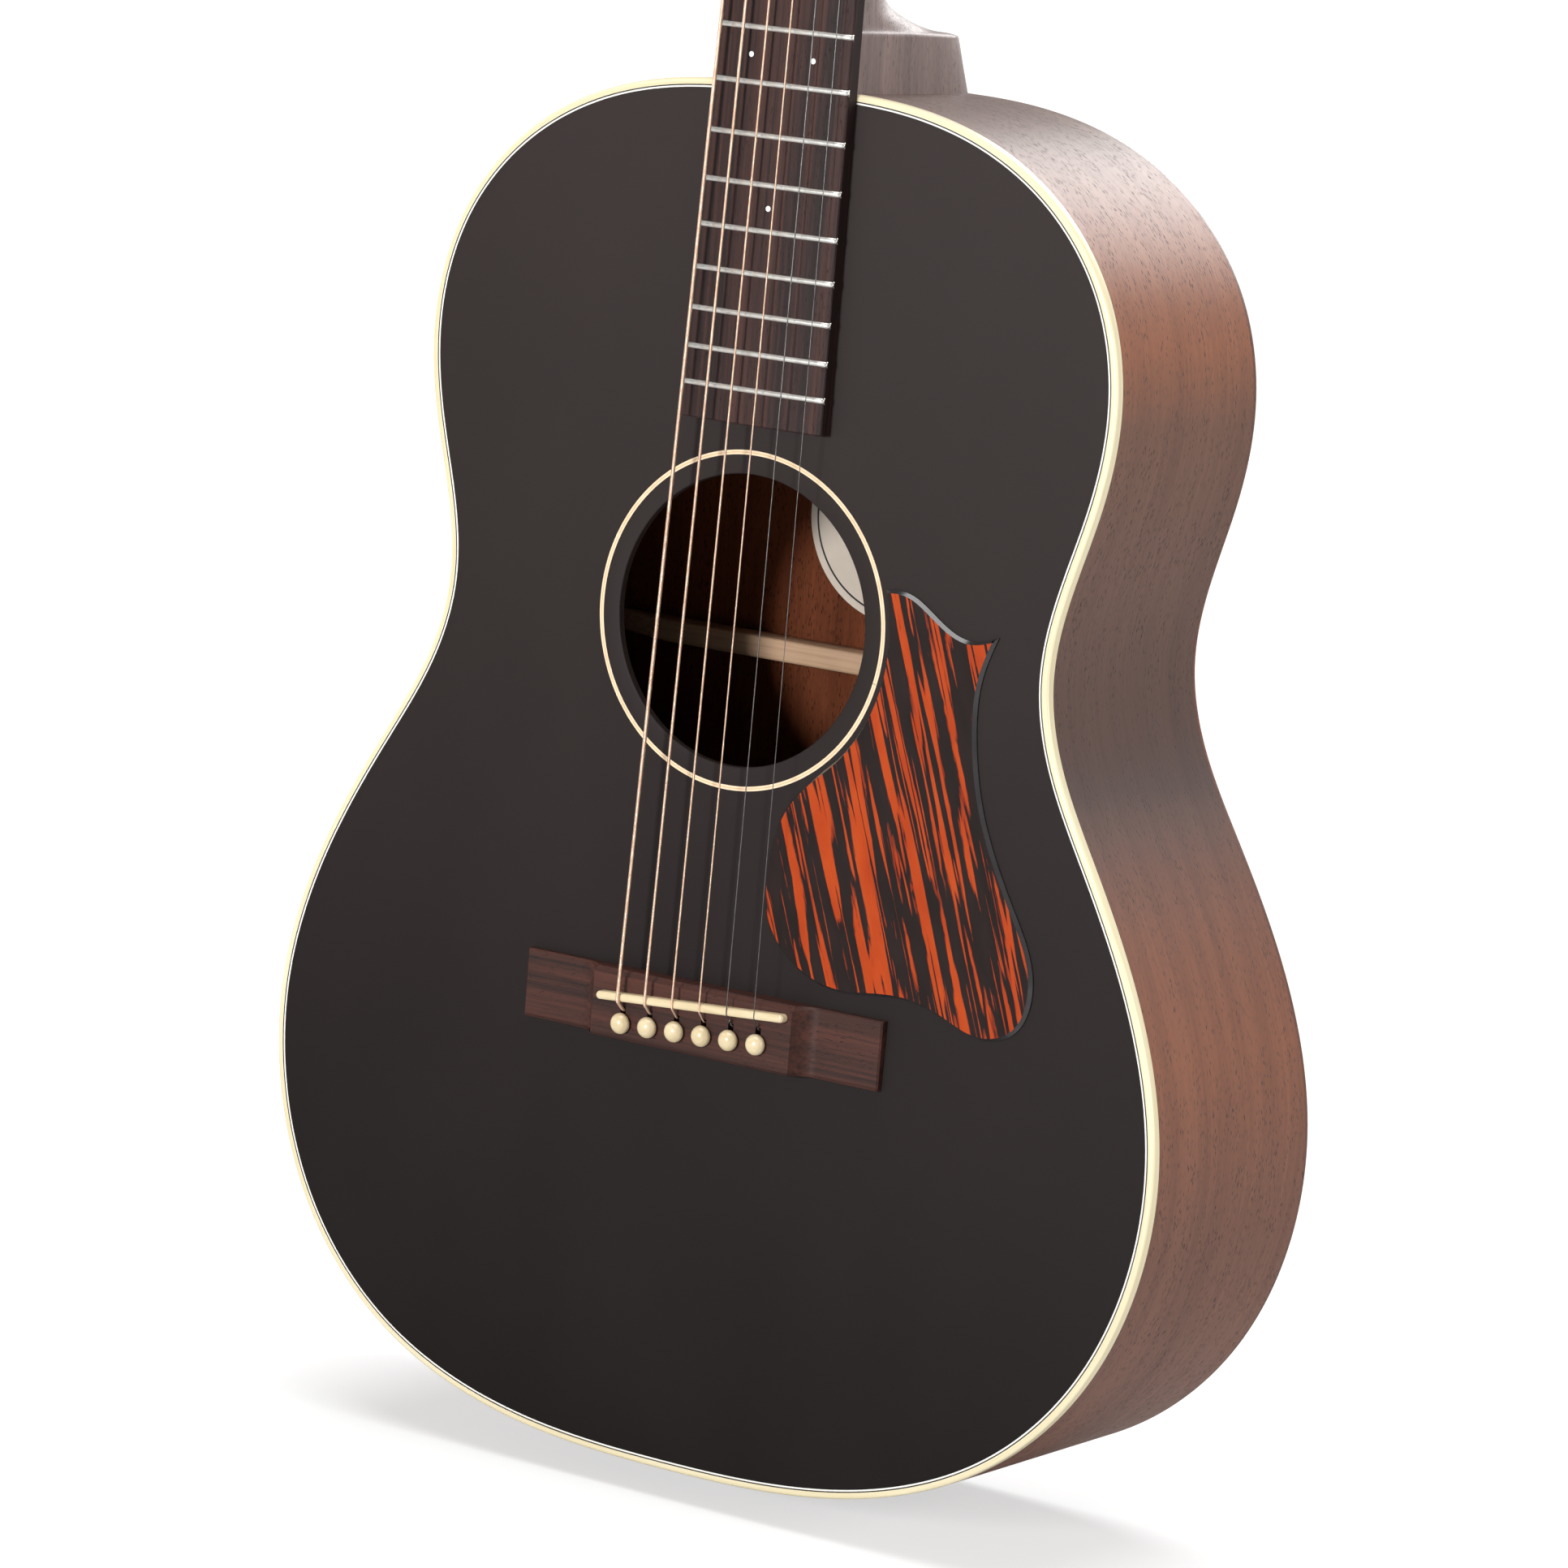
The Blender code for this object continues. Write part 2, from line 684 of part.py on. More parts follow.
def make_end_pin():
    profile = [
        (0.0, 0.0105), (0.0045, 0.0098), (0.0062, 0.0080), (0.0062, 0.0065), (0.0046, 0.0040),
        (0.0062, 0.0014), (0.0070, GAP), (0.0050, GAP), (0.0042, -0.0240), (0.0, -0.0246),
    ]
    turned("end_pin", profile, "ebony", END_PIN_FRAME)


# Neck

def head_point(across, along, proud):
    """World position of a point on the headstock: sideways, along it, and proud of its face."""
    sine, cosine = math.sin(HEAD_ANGLE), math.cos(HEAD_ANGLE)
    return Vector((across, along * sine - proud * cosine, HEAD_START_Z + along * cosine + proud * sine))


def head_frame():
    """X across, Y along the headstock, Z out of its face."""
    across = Vector((1.0, 0.0, 0.0))
    out = head_point(0, 0, 1) - head_point(0, 0, 0)
    along = head_point(0, 1, 0) - head_point(0, 0, 0)
    columns = Matrix((across, along, out)).transposed().to_4x4()
    return Matrix.Translation(head_point(0, 0, 0)) @ columns


def neck_section(centre, down, half, deep, nose, square):
    """A D-shaped ring: flat on top, half wide, deep below, nose wide at the bottom."""
    ring = []
    for turn in np.linspace(0.0, math.pi, 17):
        sine = max(math.sin(turn), 0.0)
        sink = sine**square
        wide = half + (nose - half) * sink**0.85
        x = math.copysign(abs(math.cos(turn)) ** square, math.cos(turn)) * wide
        ring.append(Vector(centre) + Vector((x, 0, 0)) + Vector(down) * (deep * sink))
    return ring


def head_edge(count=48):
    """Points on the headstock's treble edge, nut to crest, short of the centre line."""
    edge = cubic(HEAD_KNOTS, count, closed=False)
    edge = edge[edge[:, 1] > 0.003]
    edge[:, 0] = np.maximum.accumulate(edge[:, 0])
    return edge


def board_half(z):
    return BOARD_HALF_NUT + (BOARD_HALF_END - BOARD_HALF_NUT) * z / BOARD_END_Z


def make_neck():
    heel_z = BODY_KNOTS[0][1] + GAP
    # (z, depth below the fingerboard, half width of the nose, squareness)
    heel = (
        (heel_z, 0.0912, 0.0206, 0.25), (-0.3040, 0.0874, 0.0193, 0.26), (-0.2945, 0.0842, 0.0185, 0.28),
        (-0.2935, 0.0740, 0.0182, 0.34), (-0.2922, 0.0640, 0.0182, 0.42), (-0.2890, 0.0520, 0.0187, 0.58),
        (-0.2845, 0.0420, 0.0193, 0.75), (-0.2770, 0.0335, 0.0208, 0.88), (-0.2670, 0.0262, 0.0222, 0.96),
        (-0.2540, 0.0205, 0.0240, 1.0), (-0.2350, 0.0175, 0.0255, 1.0),
    )
    down = (0, 1, 0)
    sections = [
        neck_section((0, 0, z), down, board_half(z) - GAP, deep, nose, square)
        for z, deep, nose, square in heel
    ]
    for z in (-0.16, -0.08, -0.02, 0.0):
        deep = NECK_DEEP_NUT + 0.0035 * (z / -0.2)
        half = board_half(z) - GAP
        sections.append(neck_section((0, 0, z), down, half, deep, half, 1.0 if z else 0.8))
    down = head_point(0, 0, -1) - head_point(0, 0, 0)
    edge = head_edge()
    corner = edge[edge[:, 0] > 0.155, 0]
    for along in (0.0, 0.006, 0.013, 0.020, 0.028, 0.040, 0.100, *corner):
        half = float(np.interp(along, edge[:, 0], edge[:, 1]))
        square = max(0.10, 0.6 - along * 20)
        sections.append(neck_section(head_point(0, along, 0), down, half, HEAD_THICK, half, square))
    neck = loft("neck", sections, "dark_mahogany")
    join(neck, slab("tenon", [tenon_outline(0.0)], *HEEL_TENON_Y, None))
    head = head_frame()
    holes = [
        cylinder(f"post_hole_{number}", POST_HOLE, -0.03, 0.02, None, head @ post_matrix(number))
        for number in range(1, 7)
    ]
    room = ROD_HALF + ROD_SPARE
    channel = box(
        "rod_channel", (-room, -0.004, ROD_Z[0] - 0.003), (room, ROD_Y[1] + ROD_SPARE, 0.019), None
    )
    pocket = box(
        "rod_pocket", (-ROD_POCKET_HALF, ROD_POCKET[0], -0.0075),
        (ROD_POCKET_HALF, ROD_POCKET[1], 0.010), None, head,
    )
    cut(neck, channel, pocket, *holes)


def make_truss_rod():
    box("truss_rod", (-ROD_HALF, ROD_Y[0], ROD_Z[0]), (ROD_HALF, ROD_Y[1], ROD_Z[1]), "steel")
    frame = Matrix.Translation((0, 0.0052, ROD_Z[1] + ROD_SPARE))
    profile = [(0.0, 0.0100), (0.0026, 0.0100), (0.0030, 0.0092), (0.0030, 0.0004), (0.0, 0.0)]
    turned("truss_rod_nut", profile, "steel", frame, steps=6)


def make_fingerboard():
    """Board and frets as one side profile, spread to the board's tapering width."""
    top = -BOARD_THICK
    profile = [(BOARD_END_Z, -GAP), (BOARD_END_Z, top)]
    for fret in range(FRET_COUNT, 0, -1):
        z = -SCALE_LENGTH * (1 - 2 ** (-fret / 12))
        near, far = z - FRET_WIDE / 2, z + FRET_WIDE / 2
        profile += [(near, top), (near, top - FRET_HIGH), (far, top - FRET_HIGH), (far, top)]
    profile += [(-GAP, top), (-GAP, -GAP)]

    def place(z, y, near):
        return (board_half(z) * (1 if near else -1), y, z)

    filled("fingerboard", [profile], place, "rosewood")


def make_nut():
    box("nut", (-0.0228, STRING_Y_NUT + GAP, 0.0), (0.0228, -GAP, 0.0048), "bone")


def head_outline(spare):
    edge = head_edge()
    edge[0, 0] = HEAD_PLATE_START
    crest = edge[-1, 0] - spare
    right = [(half - spare, min(along, crest)) for along, half in edge]
    return right + [(-x, v) for x, v in right[::-1]]


def make_head_plate():
    head = head_frame()
    pocket = rectangle((-ROD_POCKET_HALF, ROD_POCKET[0]), (ROD_POCKET_HALF, ROD_POCKET[1]))
    loops = [head_outline(GAP), pocket]
    for number in range(1, 7):
        centre = post_matrix(number).translation
        loops.append(circle((centre.x, centre.y), POST_HOLE, 16))

    def place(x, y, near):
        return (x, y, HEAD_PLATE + GAP if near else GAP)

    filled("head_plate", loops, place, "ebony", head)

    cover = cubic(
        [(0.0, 0.0355), (0.0050, 0.032), (0.0088, 0.020), (0.0098, 0.006), (0.0085, 0.0012),
         (0.0, 0.0006), (-0.0085, 0.0012), (-0.0098, 0.006), (-0.0088, 0.020), (-0.0050, 0.032)],
        28,
    )

    def place_cover(x, y, near):
        return (x, y, HEAD_PLATE + 2 * GAP + (0.0018 if near else 0.0))

    filled("truss_rod_cover", [cover], place_cover, "ebony", head)


# Tuners

FIRST_POST = (0.0236, 0.052)


def post_side(number):
    """Treble side for strings 1 to 3, bass side for 4 to 6."""
    return 1 if number <= 3 else -1


def post_rank(number):
    """0 for the post nearest the nut."""
    return number - 1 if number <= 3 else 6 - number


def side_matrix(side):
    """Frame of one tuner plate, on the headstock: X outwards, Y along the plate, Z to the front.

    On the bass side X and Y both turn round, so that Z still points to the front.
    """
    lean = Matrix.Rotation(-side * TUNER_FLARE, 4, "Z")
    place = Matrix.Translation((side * FIRST_POST[0], FIRST_POST[1], 0))
    return place @ lean @ (Matrix.Identity(4) if side > 0 else Matrix.Rotation(math.pi, 4, "Z"))


def on_plate(side, rank, outwards=0.0, along=0.0, out=0.0):
    """Place in the side's frame: the given post, then outwards, along and out of the face."""
    return Matrix.Translation((outwards, side * (rank * POST_SPACING + along), out))


def post_matrix(number):
    side = post_side(number)
    return side_matrix(side) @ on_plate(side, post_rank(number))


def flattened(point):
    """Presses the knob end of a tuner shaft into an oval, and leaves the shaft round."""
    knob_starts = 0.0165
    if point.z < knob_starts:
        return point
    return Vector((point.x, point.y * 0.36, point.z))


def make_tuners():
    head = head_frame()
    plate_z = -HEAD_THICK - GAP
    gear_z = plate_z - TUNER_PLATE - GAP - WORM_RADIUS
    tail_z = gear_z - GEAR_DEEP / 2
    post_profile = [
        (0.0, 0.0125), (0.0024, 0.0125), (POST_RADIUS, 0.0115), (POST_RADIUS, gear_z + GEAR_DEEP / 2),
        (GEAR_RADIUS, gear_z + GEAR_DEEP / 2), (GEAR_RADIUS, tail_z), (0.0022, tail_z),
        (0.0018, tail_z - 0.001), (0.0, tail_z - 0.001),
    ]
    knob = [
        (0.0, 0.0325), (0.0045, 0.0320), (0.0080, 0.0300), (0.0096, 0.0260), (0.0088, 0.0210),
        (0.0060, 0.0180), (0.0030, 0.0166),
    ]
    shaft = [
        (SHAFT_RADIUS, 0.0160), (SHAFT_RADIUS, 0.0042), (WORM_RADIUS, 0.0042), (WORM_RADIUS, -0.0042),
        (SHAFT_RADIUS, -0.0042), (SHAFT_RADIUS, -0.0066), (0.0, -0.0066),
    ]
    outwards = Matrix.Rotation(math.pi / 2, 4, "Y")
    for name, side in (("bass", -1), ("treble", 1)):
        frame = add_frame(f"tuner_frame_{name}", head @ side_matrix(side))
        make_tuner_plate(f"tuner_plate_{name}", frame, side, plate_z, gear_z)
        for rank in range(3):
            number = rank + 1 if side > 0 else 6 - rank
            place = on_plate(side, rank)
            turned(f"tuner_post_{number}", post_profile, "nickel", place, frame, POST_SIDES)
            place = on_plate(side, rank, 0.0, -WORM_OFFSET, gear_z) @ outwards
            turned(f"tuner_button_{number}", knob + shaft, "cream_plastic", place, frame, 10, flattened)


def make_tuner_plate(name, frame, side, plate_z, gear_z):
    low, high = sorted((side * -0.0200, side * (2 * POST_SPACING + 0.0110)))
    loops = [rectangle((-0.0070, low), (0.0075, high))]
    loops += [circle((0.0, side * rank * POST_SPACING), 0.0035, 14) for rank in range(3)]

    def place(x, y, near):
        return (x, y, plate_z if near else plate_z - TUNER_PLATE)

    plate = filled(name, loops, place, "nickel", Matrix.Identity(4), frame)
    lugs, bores = [], []
    for rank in range(3):
        y = side * (rank * POST_SPACING - WORM_OFFSET)
        for end, x in (("inner", -LUG_X), ("outer", LUG_X)):
            low = (x - LUG_HALF[0], y - LUG_HALF[1], gear_z - LUG_DEEP)
            high = (x + LUG_HALF[0], y + LUG_HALF[1], plate_z - TUNER_PLATE / 2)
            lugs.append(box(f"{name}_lug_{rank}_{end}", low, high, None, Matrix.Identity(4), frame))
        bore_place = Matrix.Translation((0.0, y, gear_z)) @ Matrix.Rotation(math.pi / 2, 4, "Y")
        bore = cylinder(f"{name}_bore_{rank}", LUG_BORE, -0.008, 0.008, None, bore_place, frame, POST_SIDES)
        bores.append(bore)
    join(plate, *lugs)
    cut(plate, *bores)


# Strings

def string_path(number):
    """From under the bridge plate, over the saddle and the nut, to turns round the post."""
    radius = STRING_GAUGES[number - 1] / 2
    pin_x, pin_z = pin_place(number)
    hole_z = pin_z + 0.0047
    saddle_z = SADDLE_Z + SADDLE_SLANT * pin_x
    over = SADDLE_THICK / 2 + GAP
    nut_x = string_x(number, STRING_STEP_NUT)
    path = [
        (pin_x, 0.0075, hole_z),
        (pin_x, -BRIDGE_HIGH - GAP, hole_z),
        (pin_x, STRING_Y_SADDLE - radius, saddle_z - over),
        (pin_x, STRING_Y_SADDLE - radius, saddle_z + over),
        (nut_x, STRING_Y_NUT - radius, 0.0004),
        (nut_x, STRING_Y_NUT - radius, 0.0048),
    ]
    side = post_side(number)
    centre = post_matrix(number).translation
    coil = (POST_RADIUS + radius + 0.0002) / math.cos(math.pi / 8)
    for step in range(13):
        turn = (math.pi if side > 0 else 0.0) - side * (step - 1) * math.pi / 4
        rise = HEAD_PLATE + 0.0062 - step * max(2.2 * radius, 0.0008) / 8
        x, y = centre.x + coil * math.cos(turn), centre.y + coil * math.sin(turn)
        path.append(head_point(x, y, rise))
    return path


def make_strings():
    for number, gauge in enumerate(STRING_GAUGES, 1):
        name = f"string_{number}"
        curve = bpy.data.curves.new(name, "CURVE")
        curve.dimensions = "3D"
        curve.bevel_depth = gauge / 2
        curve.bevel_resolution = 1
        curve.use_fill_caps = True
        points = string_path(number)
        spline = curve.splines.new("POLY")
        spline.points.add(len(points) - 1)
        for point, position in zip(spline.points, points):
            point.co = (*position, 1.0)
        thing = bpy.data.objects.new(name, curve)
        PARTS.objects.link(thing)
        curve.materials.append(new_material(name, *LOOKS["bronze" if number > 2 else "steel"]))


make_box()
make_braces()
make_bridge()
make_pickguard()
make_end_pin()
make_neck()
make_truss_rod()
make_fingerboard()
make_nut()
make_head_plate()
make_tuners()
make_strings()
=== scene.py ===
"""The looks of a steel-string acoustic guitar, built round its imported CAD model.

Metres. +Z runs along the neck to the headstock, -Y points out of the soundboard and +X is the
treble side. The origin is the front of the nut, in the soundboard's plane. String 1 is the thin
treble one, and pins, posts and buttons are numbered with their strings.
"""

import json
import math

import bmesh
import bpy
import numpy as np
from mathutils import Matrix, Vector


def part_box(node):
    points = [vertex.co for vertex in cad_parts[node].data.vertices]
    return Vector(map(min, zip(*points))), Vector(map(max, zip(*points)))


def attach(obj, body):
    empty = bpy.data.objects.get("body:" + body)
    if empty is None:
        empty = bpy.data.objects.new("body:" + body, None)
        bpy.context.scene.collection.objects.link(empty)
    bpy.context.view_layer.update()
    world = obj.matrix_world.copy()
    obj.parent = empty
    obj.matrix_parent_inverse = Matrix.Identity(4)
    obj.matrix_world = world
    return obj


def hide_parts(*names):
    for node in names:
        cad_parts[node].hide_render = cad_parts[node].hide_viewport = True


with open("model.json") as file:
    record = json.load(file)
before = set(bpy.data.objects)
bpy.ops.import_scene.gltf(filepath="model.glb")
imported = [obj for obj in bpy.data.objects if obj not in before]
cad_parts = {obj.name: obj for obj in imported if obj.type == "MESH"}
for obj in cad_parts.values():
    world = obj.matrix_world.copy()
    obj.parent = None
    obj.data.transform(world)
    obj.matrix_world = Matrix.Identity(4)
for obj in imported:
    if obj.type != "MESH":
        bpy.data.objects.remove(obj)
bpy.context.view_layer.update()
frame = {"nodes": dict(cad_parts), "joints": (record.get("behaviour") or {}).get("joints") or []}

JOINTS = {joint["name"]: joint for joint in frame["joints"]}
STRINGS = range(1, 7)

# Sizes of what the CAD model leaves out or draws coarsely
OUTLINE_STEP = 0.0035
SEAM = 0.00005
GLUE = 0.00002
FLAT_EDGE = 0.0002
BACK_THICK = 0.0028
BACK_DOME = 0.0020
RIB_THICK = 0.0022
RIB_LONG = 0.677
BINDING_WIDE = 0.0023
PURFLING = (("purfling_black", 0.00233, 0.00040), ("purfling_white", 0.00276, 0.00056))
SOUNDBOARD_INSET = 0.00335
KERF_STEP = 0.0056
KERF_BLOCK = 0.0044
LINING_WIDE = 0.0050
LABEL_CENTRE = (0.0, -0.469)
LABEL_RADIUS = 0.0365
RING_WIDE = 0.0016
RING_TO_HOLE = 0.0067
RING_PROUD = 0.00003
PIN_BORE = 0.0030
SADDLE_THICK = 0.0030
HOLE_AHEAD = 0.0047
BALL_DEEP = 0.0078
SCALE_LENGTH = 0.62865
FRET_COUNT = 19
FRET_WIDE = 0.0021
FRET_HIGH = 0.00105
BOARD_RADIUS = 0.50
DOT_RADIUS = 0.00100
SIDE_DOT_RADIUS = 0.0008
SIDE_DOT_Y = -0.0033
STRING_GAUGES = (0.00030, 0.00041, 0.00061, 0.00081, 0.00107, 0.00135)
NUT_STEP = 0.0077
HEAD_THICK = 0.014
HEAD_PLATE = 0.0015
UNDER_BOARD = 0.0001
POST_BORE = 0.0042
CAD_GAP = 0.0003


# Materials

def srgb(red, green, blue):
    """A colour given as it looks on a screen, 0 to 255, in the linear values that nodes use."""
    def linear(value):
        value /= 255
        return value / 12.92 if value <= 0.04045 else ((value + 0.055) / 1.055) ** 2.4

    return (linear(red), linear(green), linear(blue), 1.0)


class Look:
    """A material under construction: its nodes hang on one Principled shader."""

    def __init__(self, name, **sockets):
        self.material = bpy.data.materials.new(name)
        self.material.use_nodes = True
        self.nodes = self.material.node_tree.nodes
        self.links = self.material.node_tree.links
        self.shader = self.nodes["Principled BSDF"]
        for socket, value in sockets.items():
            self.shader.inputs[socket.replace("_", " ")].default_value = value

    def node(self, kind, inputs, output=0, **settings):
        made = self.nodes.new("ShaderNode" + kind)
        for key, value in settings.items():
            setattr(made, key, value)
        for key, value in inputs.items():
            if isinstance(value, bpy.types.NodeSocket):
                self.links.new(value, made.inputs[key])
            else:
                made.inputs[key].default_value = value
        return made.outputs[output]

    def drive(self, socket, value):
        self.links.new(value, self.shader.inputs[socket])

    def place(self, sizes, source="Object", turn=0.0):
        """Coordinates that count one for each of these sizes, mirrored or turned about Y first."""
        spot = self.nodes.new("ShaderNodeTexCoord").outputs[source.removeprefix("Mirrored ")]
        if source.startswith("Mirrored"):
            spot = self.node("VectorMath", {0: spot}, operation="ABSOLUTE")
        if turn:
            spot = self.node("Mapping", {"Vector": spot, "Rotation": (0.0, turn, 0.0)})
        return self.node("Mapping", {"Vector": spot, "Scale": [1 / size for size in sizes]})

    def noise(self, spot, detail=3.0, distortion=0.0, roughness=0.5):
        wanted = {"Vector": spot, "Scale": 1.0, "Detail": detail, "Distortion": distortion}
        return self.node("TexNoise", {**wanted, "Roughness": roughness})

    def cells(self, spot):
        return self.node("TexVoronoi", {"Vector": spot, "Scale": 1.0, "Randomness": 1.0})

    def ramp(self, value, *stops):
        """Numbers or colours at places from 0 to 1."""
        made = self.nodes.new("ShaderNodeValToRGB")
        elements = made.color_ramp.elements
        while len(elements) < len(stops):
            elements.new(0.5)
        for element, (place, shade) in zip(elements, stops):
            element.position = place
            element.color = shade if hasattr(shade, "__len__") else (shade, shade, shade, 1.0)
        self.links.new(value, made.inputs[0])
        return made.outputs[0]

    def maths(self, operation, first, second):
        return self.node("Math", {0: first, 1: second}, operation=operation)

    def scaled(self, value, by, plus):
        return self.maths("ADD", self.maths("MULTIPLY", value, by), plus)

    def mix(self, factor, first, second, how="MIX"):
        wanted = {0: factor, 6: first, 7: second}
        return self.node("Mix", wanted, output=2, data_type="RGBA", blend_type=how)

    def bump(self, height, depth, under=None):
        wanted = {"Height": height, "Strength": 1.0, "Distance": depth}
        if under is not None:
            wanted["Normal"] = under
        return self.node("Bump", wanted)


def stretched(axis, across, along):
    """Sizes across the grain, with the size along it on one axis."""
    sizes = [across, across, across]
    sizes[axis] = along
    return sizes


def wood(name, light, dark, pore, axis=2, source="Object", turn=0.0, gloss=0.45, shine=0.5,
         pore_size=(0.0012, 0.0028), pore_share=0.30, streak=(0.0022, 0.090), band=(0.014, 0.40),
         contrast=0.7, depth=0.00007, painted_shade=(), seam=0.0):
    """Timber with broad bands, fine streaks and open pores along one axis.

    A ramp of painted shade can darken and tint it from neck to tail, and seam is the width of a dark
    joint at the middle.
    """
    look = Look(name, Specular_IOR_Level=shine)
    bands = look.noise(look.place(stretched(axis, *band), source, turn), 2.0, 0.4)
    streaks = look.noise(look.place(stretched(axis, *streak), source, turn), 4.0, 0.3, 0.6)
    fibres = look.noise(look.place(stretched(axis, 0.0003, 0.012), source, turn), 2.0)
    figure = look.maths("ADD", look.maths("MULTIPLY", bands, 0.5), look.maths("MULTIPLY", streaks, 0.5))
    figure = look.maths("ADD", figure, look.maths("MULTIPLY", look.maths("SUBTRACT", fibres, 0.5), 0.25))
    shade = look.ramp(figure, (0.5 - contrast / 4, light), (0.5 + contrast / 4, dark))
    wide, long = pore_size
    patches = look.noise(look.place(stretched(axis, 0.006, 0.025), source, turn), 1.0)
    crowding = look.ramp(patches, (0.36, 0.35), (0.56, 1.0))
    holes = None
    for factor in (1.0, 0.62):
        size = stretched(axis, wide * factor, long / factor)
        cells = look.cells(look.place(size, source, turn))
        pores = look.ramp(cells, (pore_share * 0.5, 1.0), (pore_share, 0.0))
        if holes is None:
            holes = pores
        else:
            holes = look.maths("MAXIMUM", holes, look.maths("MULTIPLY", pores, 0.7))
    holes = look.maths("MULTIPLY", holes, crowding)
    if painted_shade:
        # Painted shade: a ramp from neck to tail darkens and tints the wood
        along = look.node("SeparateXYZ", {0: look.place((RIB_LONG, 1.0, 1.0), source)})
        shade = look.mix(1.0, shade, look.ramp(along, *painted_shade), "MULTIPLY")
    if seam:
        middle = look.node("SeparateXYZ", {0: look.place((seam, 1.0, 1.0), source)})
        holes = look.maths("MAXIMUM", holes, look.ramp(middle, (0.6, 1.0), (1.0, 0.0)))
    look.drive("Base Color", look.mix(holes, shade, pore))
    rough = look.scaled(figure, 0.12, gloss - 0.06)
    look.drive("Roughness", look.maths("ADD", rough, look.maths("MULTIPLY", holes, 0.25)))
    fine = look.bump(fibres, 0.00003)
    look.drive("Normal", look.bump(look.maths("SUBTRACT", 1.0, holes), depth, fine))
    return look.material


def plastic(name, light, dark, gloss, sizes, source="Object", coat=0.3, grain=0.00001):
    """Cloudy or streaked plastic, bone or paper with a faint unevenness."""
    look = Look(name, Coat_Weight=coat, Coat_Roughness=0.12)
    clouds = look.noise(look.place(sizes, source), 4.0, 0.5)
    specks = look.noise(look.place([size / 12 for size in sizes], source), 3.0)
    look.drive("Base Color", look.ramp(clouds, (0.30, light), (0.72, dark)))
    look.drive("Roughness", look.scaled(specks, 0.16, gloss - 0.08))
    look.drive("Normal", look.bump(specks, grain))
    return look.material


def metal(name, bright, dull, gloss, sizes, source="Object", ridges=None):
    """Plated or drawn metal with fine scratches; ridges is the pitch of a string's winding."""
    look = Look(name, Metallic=1.0)
    tarnish = look.noise(look.place((0.004, 0.004, 0.004)), 4.0)
    scratches = look.noise(look.place(sizes, source), 2.0)
    look.drive("Base Color", look.ramp(tarnish, (0.35, bright), (0.75, dull)))
    look.drive("Roughness", look.scaled(scratches, 0.20, gloss - 0.10))
    normal = look.bump(scratches, 0.000004)
    if ridges:
        spot = look.place((ridges, 1.0, 1.0), "UV")
        turn = look.node("SeparateXYZ", {0: spot})
        around = look.node("SeparateXYZ", {0: spot}, output=1)
        phase = look.maths("MULTIPLY", look.maths("ADD", turn, around), math.tau)
        normal = look.bump(look.maths("SINE", phase, 0.0), ridges * 0.12, normal)
    look.drive("Normal", normal)
    return look.material


def black_lacquer(name, low, high, gloss, shine=0.15, ring=0.0011):
    """Near-black satin lacquer, lighter towards its top as painted sheen, with a trace of growth rings
    and dust.
    """
    look = Look(name, Specular_IOR_Level=shine)
    rings = look.noise(look.place(stretched(2, ring, 0.25)), 2.0)
    haze = look.noise(look.place((0.05, 0.05, 0.09)), 3.0)
    # Painted sheen: the colour goes from low to high up the body, lighter towards the top
    height = look.node("SeparateXYZ", {0: look.place((1.0, 1.0, 0.5))}, output=2)
    rise = look.maths("ADD", look.maths("MULTIPLY", haze, 0.25), look.maths("ADD", height, 1.475))
    painted_sheen = look.ramp(rise, (0.0, low), (1.0, high))
    specks = look.cells(look.place((0.0065, 0.0065, 0.0065)))
    dust = look.ramp(specks, (0.012, 0.20), (0.024, 0.0))
    look.drive("Base Color", look.mix(dust, painted_sheen, srgb(120, 110, 104)))
    rough = look.scaled(rings, 0.05, gloss - 0.025)
    look.drive("Roughness", look.maths("ADD", rough, look.maths("MULTIPLY", haze, 0.06)))
    look.drive("Normal", look.bump(rings, 0.000010))
    return look.material


def firestripe(name):
    """Orange-red flames on near-black: broad ones and threads, all long, pointed and leaning."""
    lean = math.radians(20)
    look = Look(name, Specular_IOR_Level=0.12)
    ragged = look.noise(look.place(stretched(2, 0.0020, 0.012), turn=lean), 3.0, 0.4, 0.55)
    wander = look.maths("MULTIPLY", look.maths("SUBTRACT", ragged, 0.5), 0.15)

    def flames(across, along, share, soft):
        spot = look.place(stretched(2, across, along), turn=lean)
        body = look.maths("ADD", look.noise(spot, 0.6, 0.45, 0.45), wander)
        return look.ramp(body, (share - soft, 0.0), (share + soft, 1.0))

    broad = flames(0.0044, 0.075, 0.535, 0.014)
    narrow = flames(0.0024, 0.055, 0.628, 0.018)
    threads = flames(0.0013, 0.070, 0.725, 0.026)
    mask = look.maths("MAXIMUM", look.maths("MAXIMUM", broad, narrow), threads)
    gaps = flames(0.0019, 0.055, 0.640, 0.018)
    mask = look.maths("MULTIPLY", mask, look.maths("SUBTRACT", 1.0, gaps))
    clouds = look.noise(look.place(stretched(2, 0.007, 0.020), turn=lean), 3.0)
    orange = look.ramp(clouds, (0.30, srgb(160, 54, 14)), (0.70, srgb(178, 68, 20)))
    black = look.ramp(clouds, (0.30, srgb(26, 18, 16)), (0.70, srgb(36, 25, 23)))
    shade = look.mix(mask, black, orange)
    edge = look.ramp(mask, (0.05, 0.0), (0.45, 0.6), (0.95, 0.0))
    look.drive("Base Color", look.mix(edge, shade, srgb(124, 38, 18)))
    look.drive("Roughness", look.scaled(clouds, 0.10, 0.36))
    look.drive("Normal", look.bump(ragged, 0.000008))
    return look.material
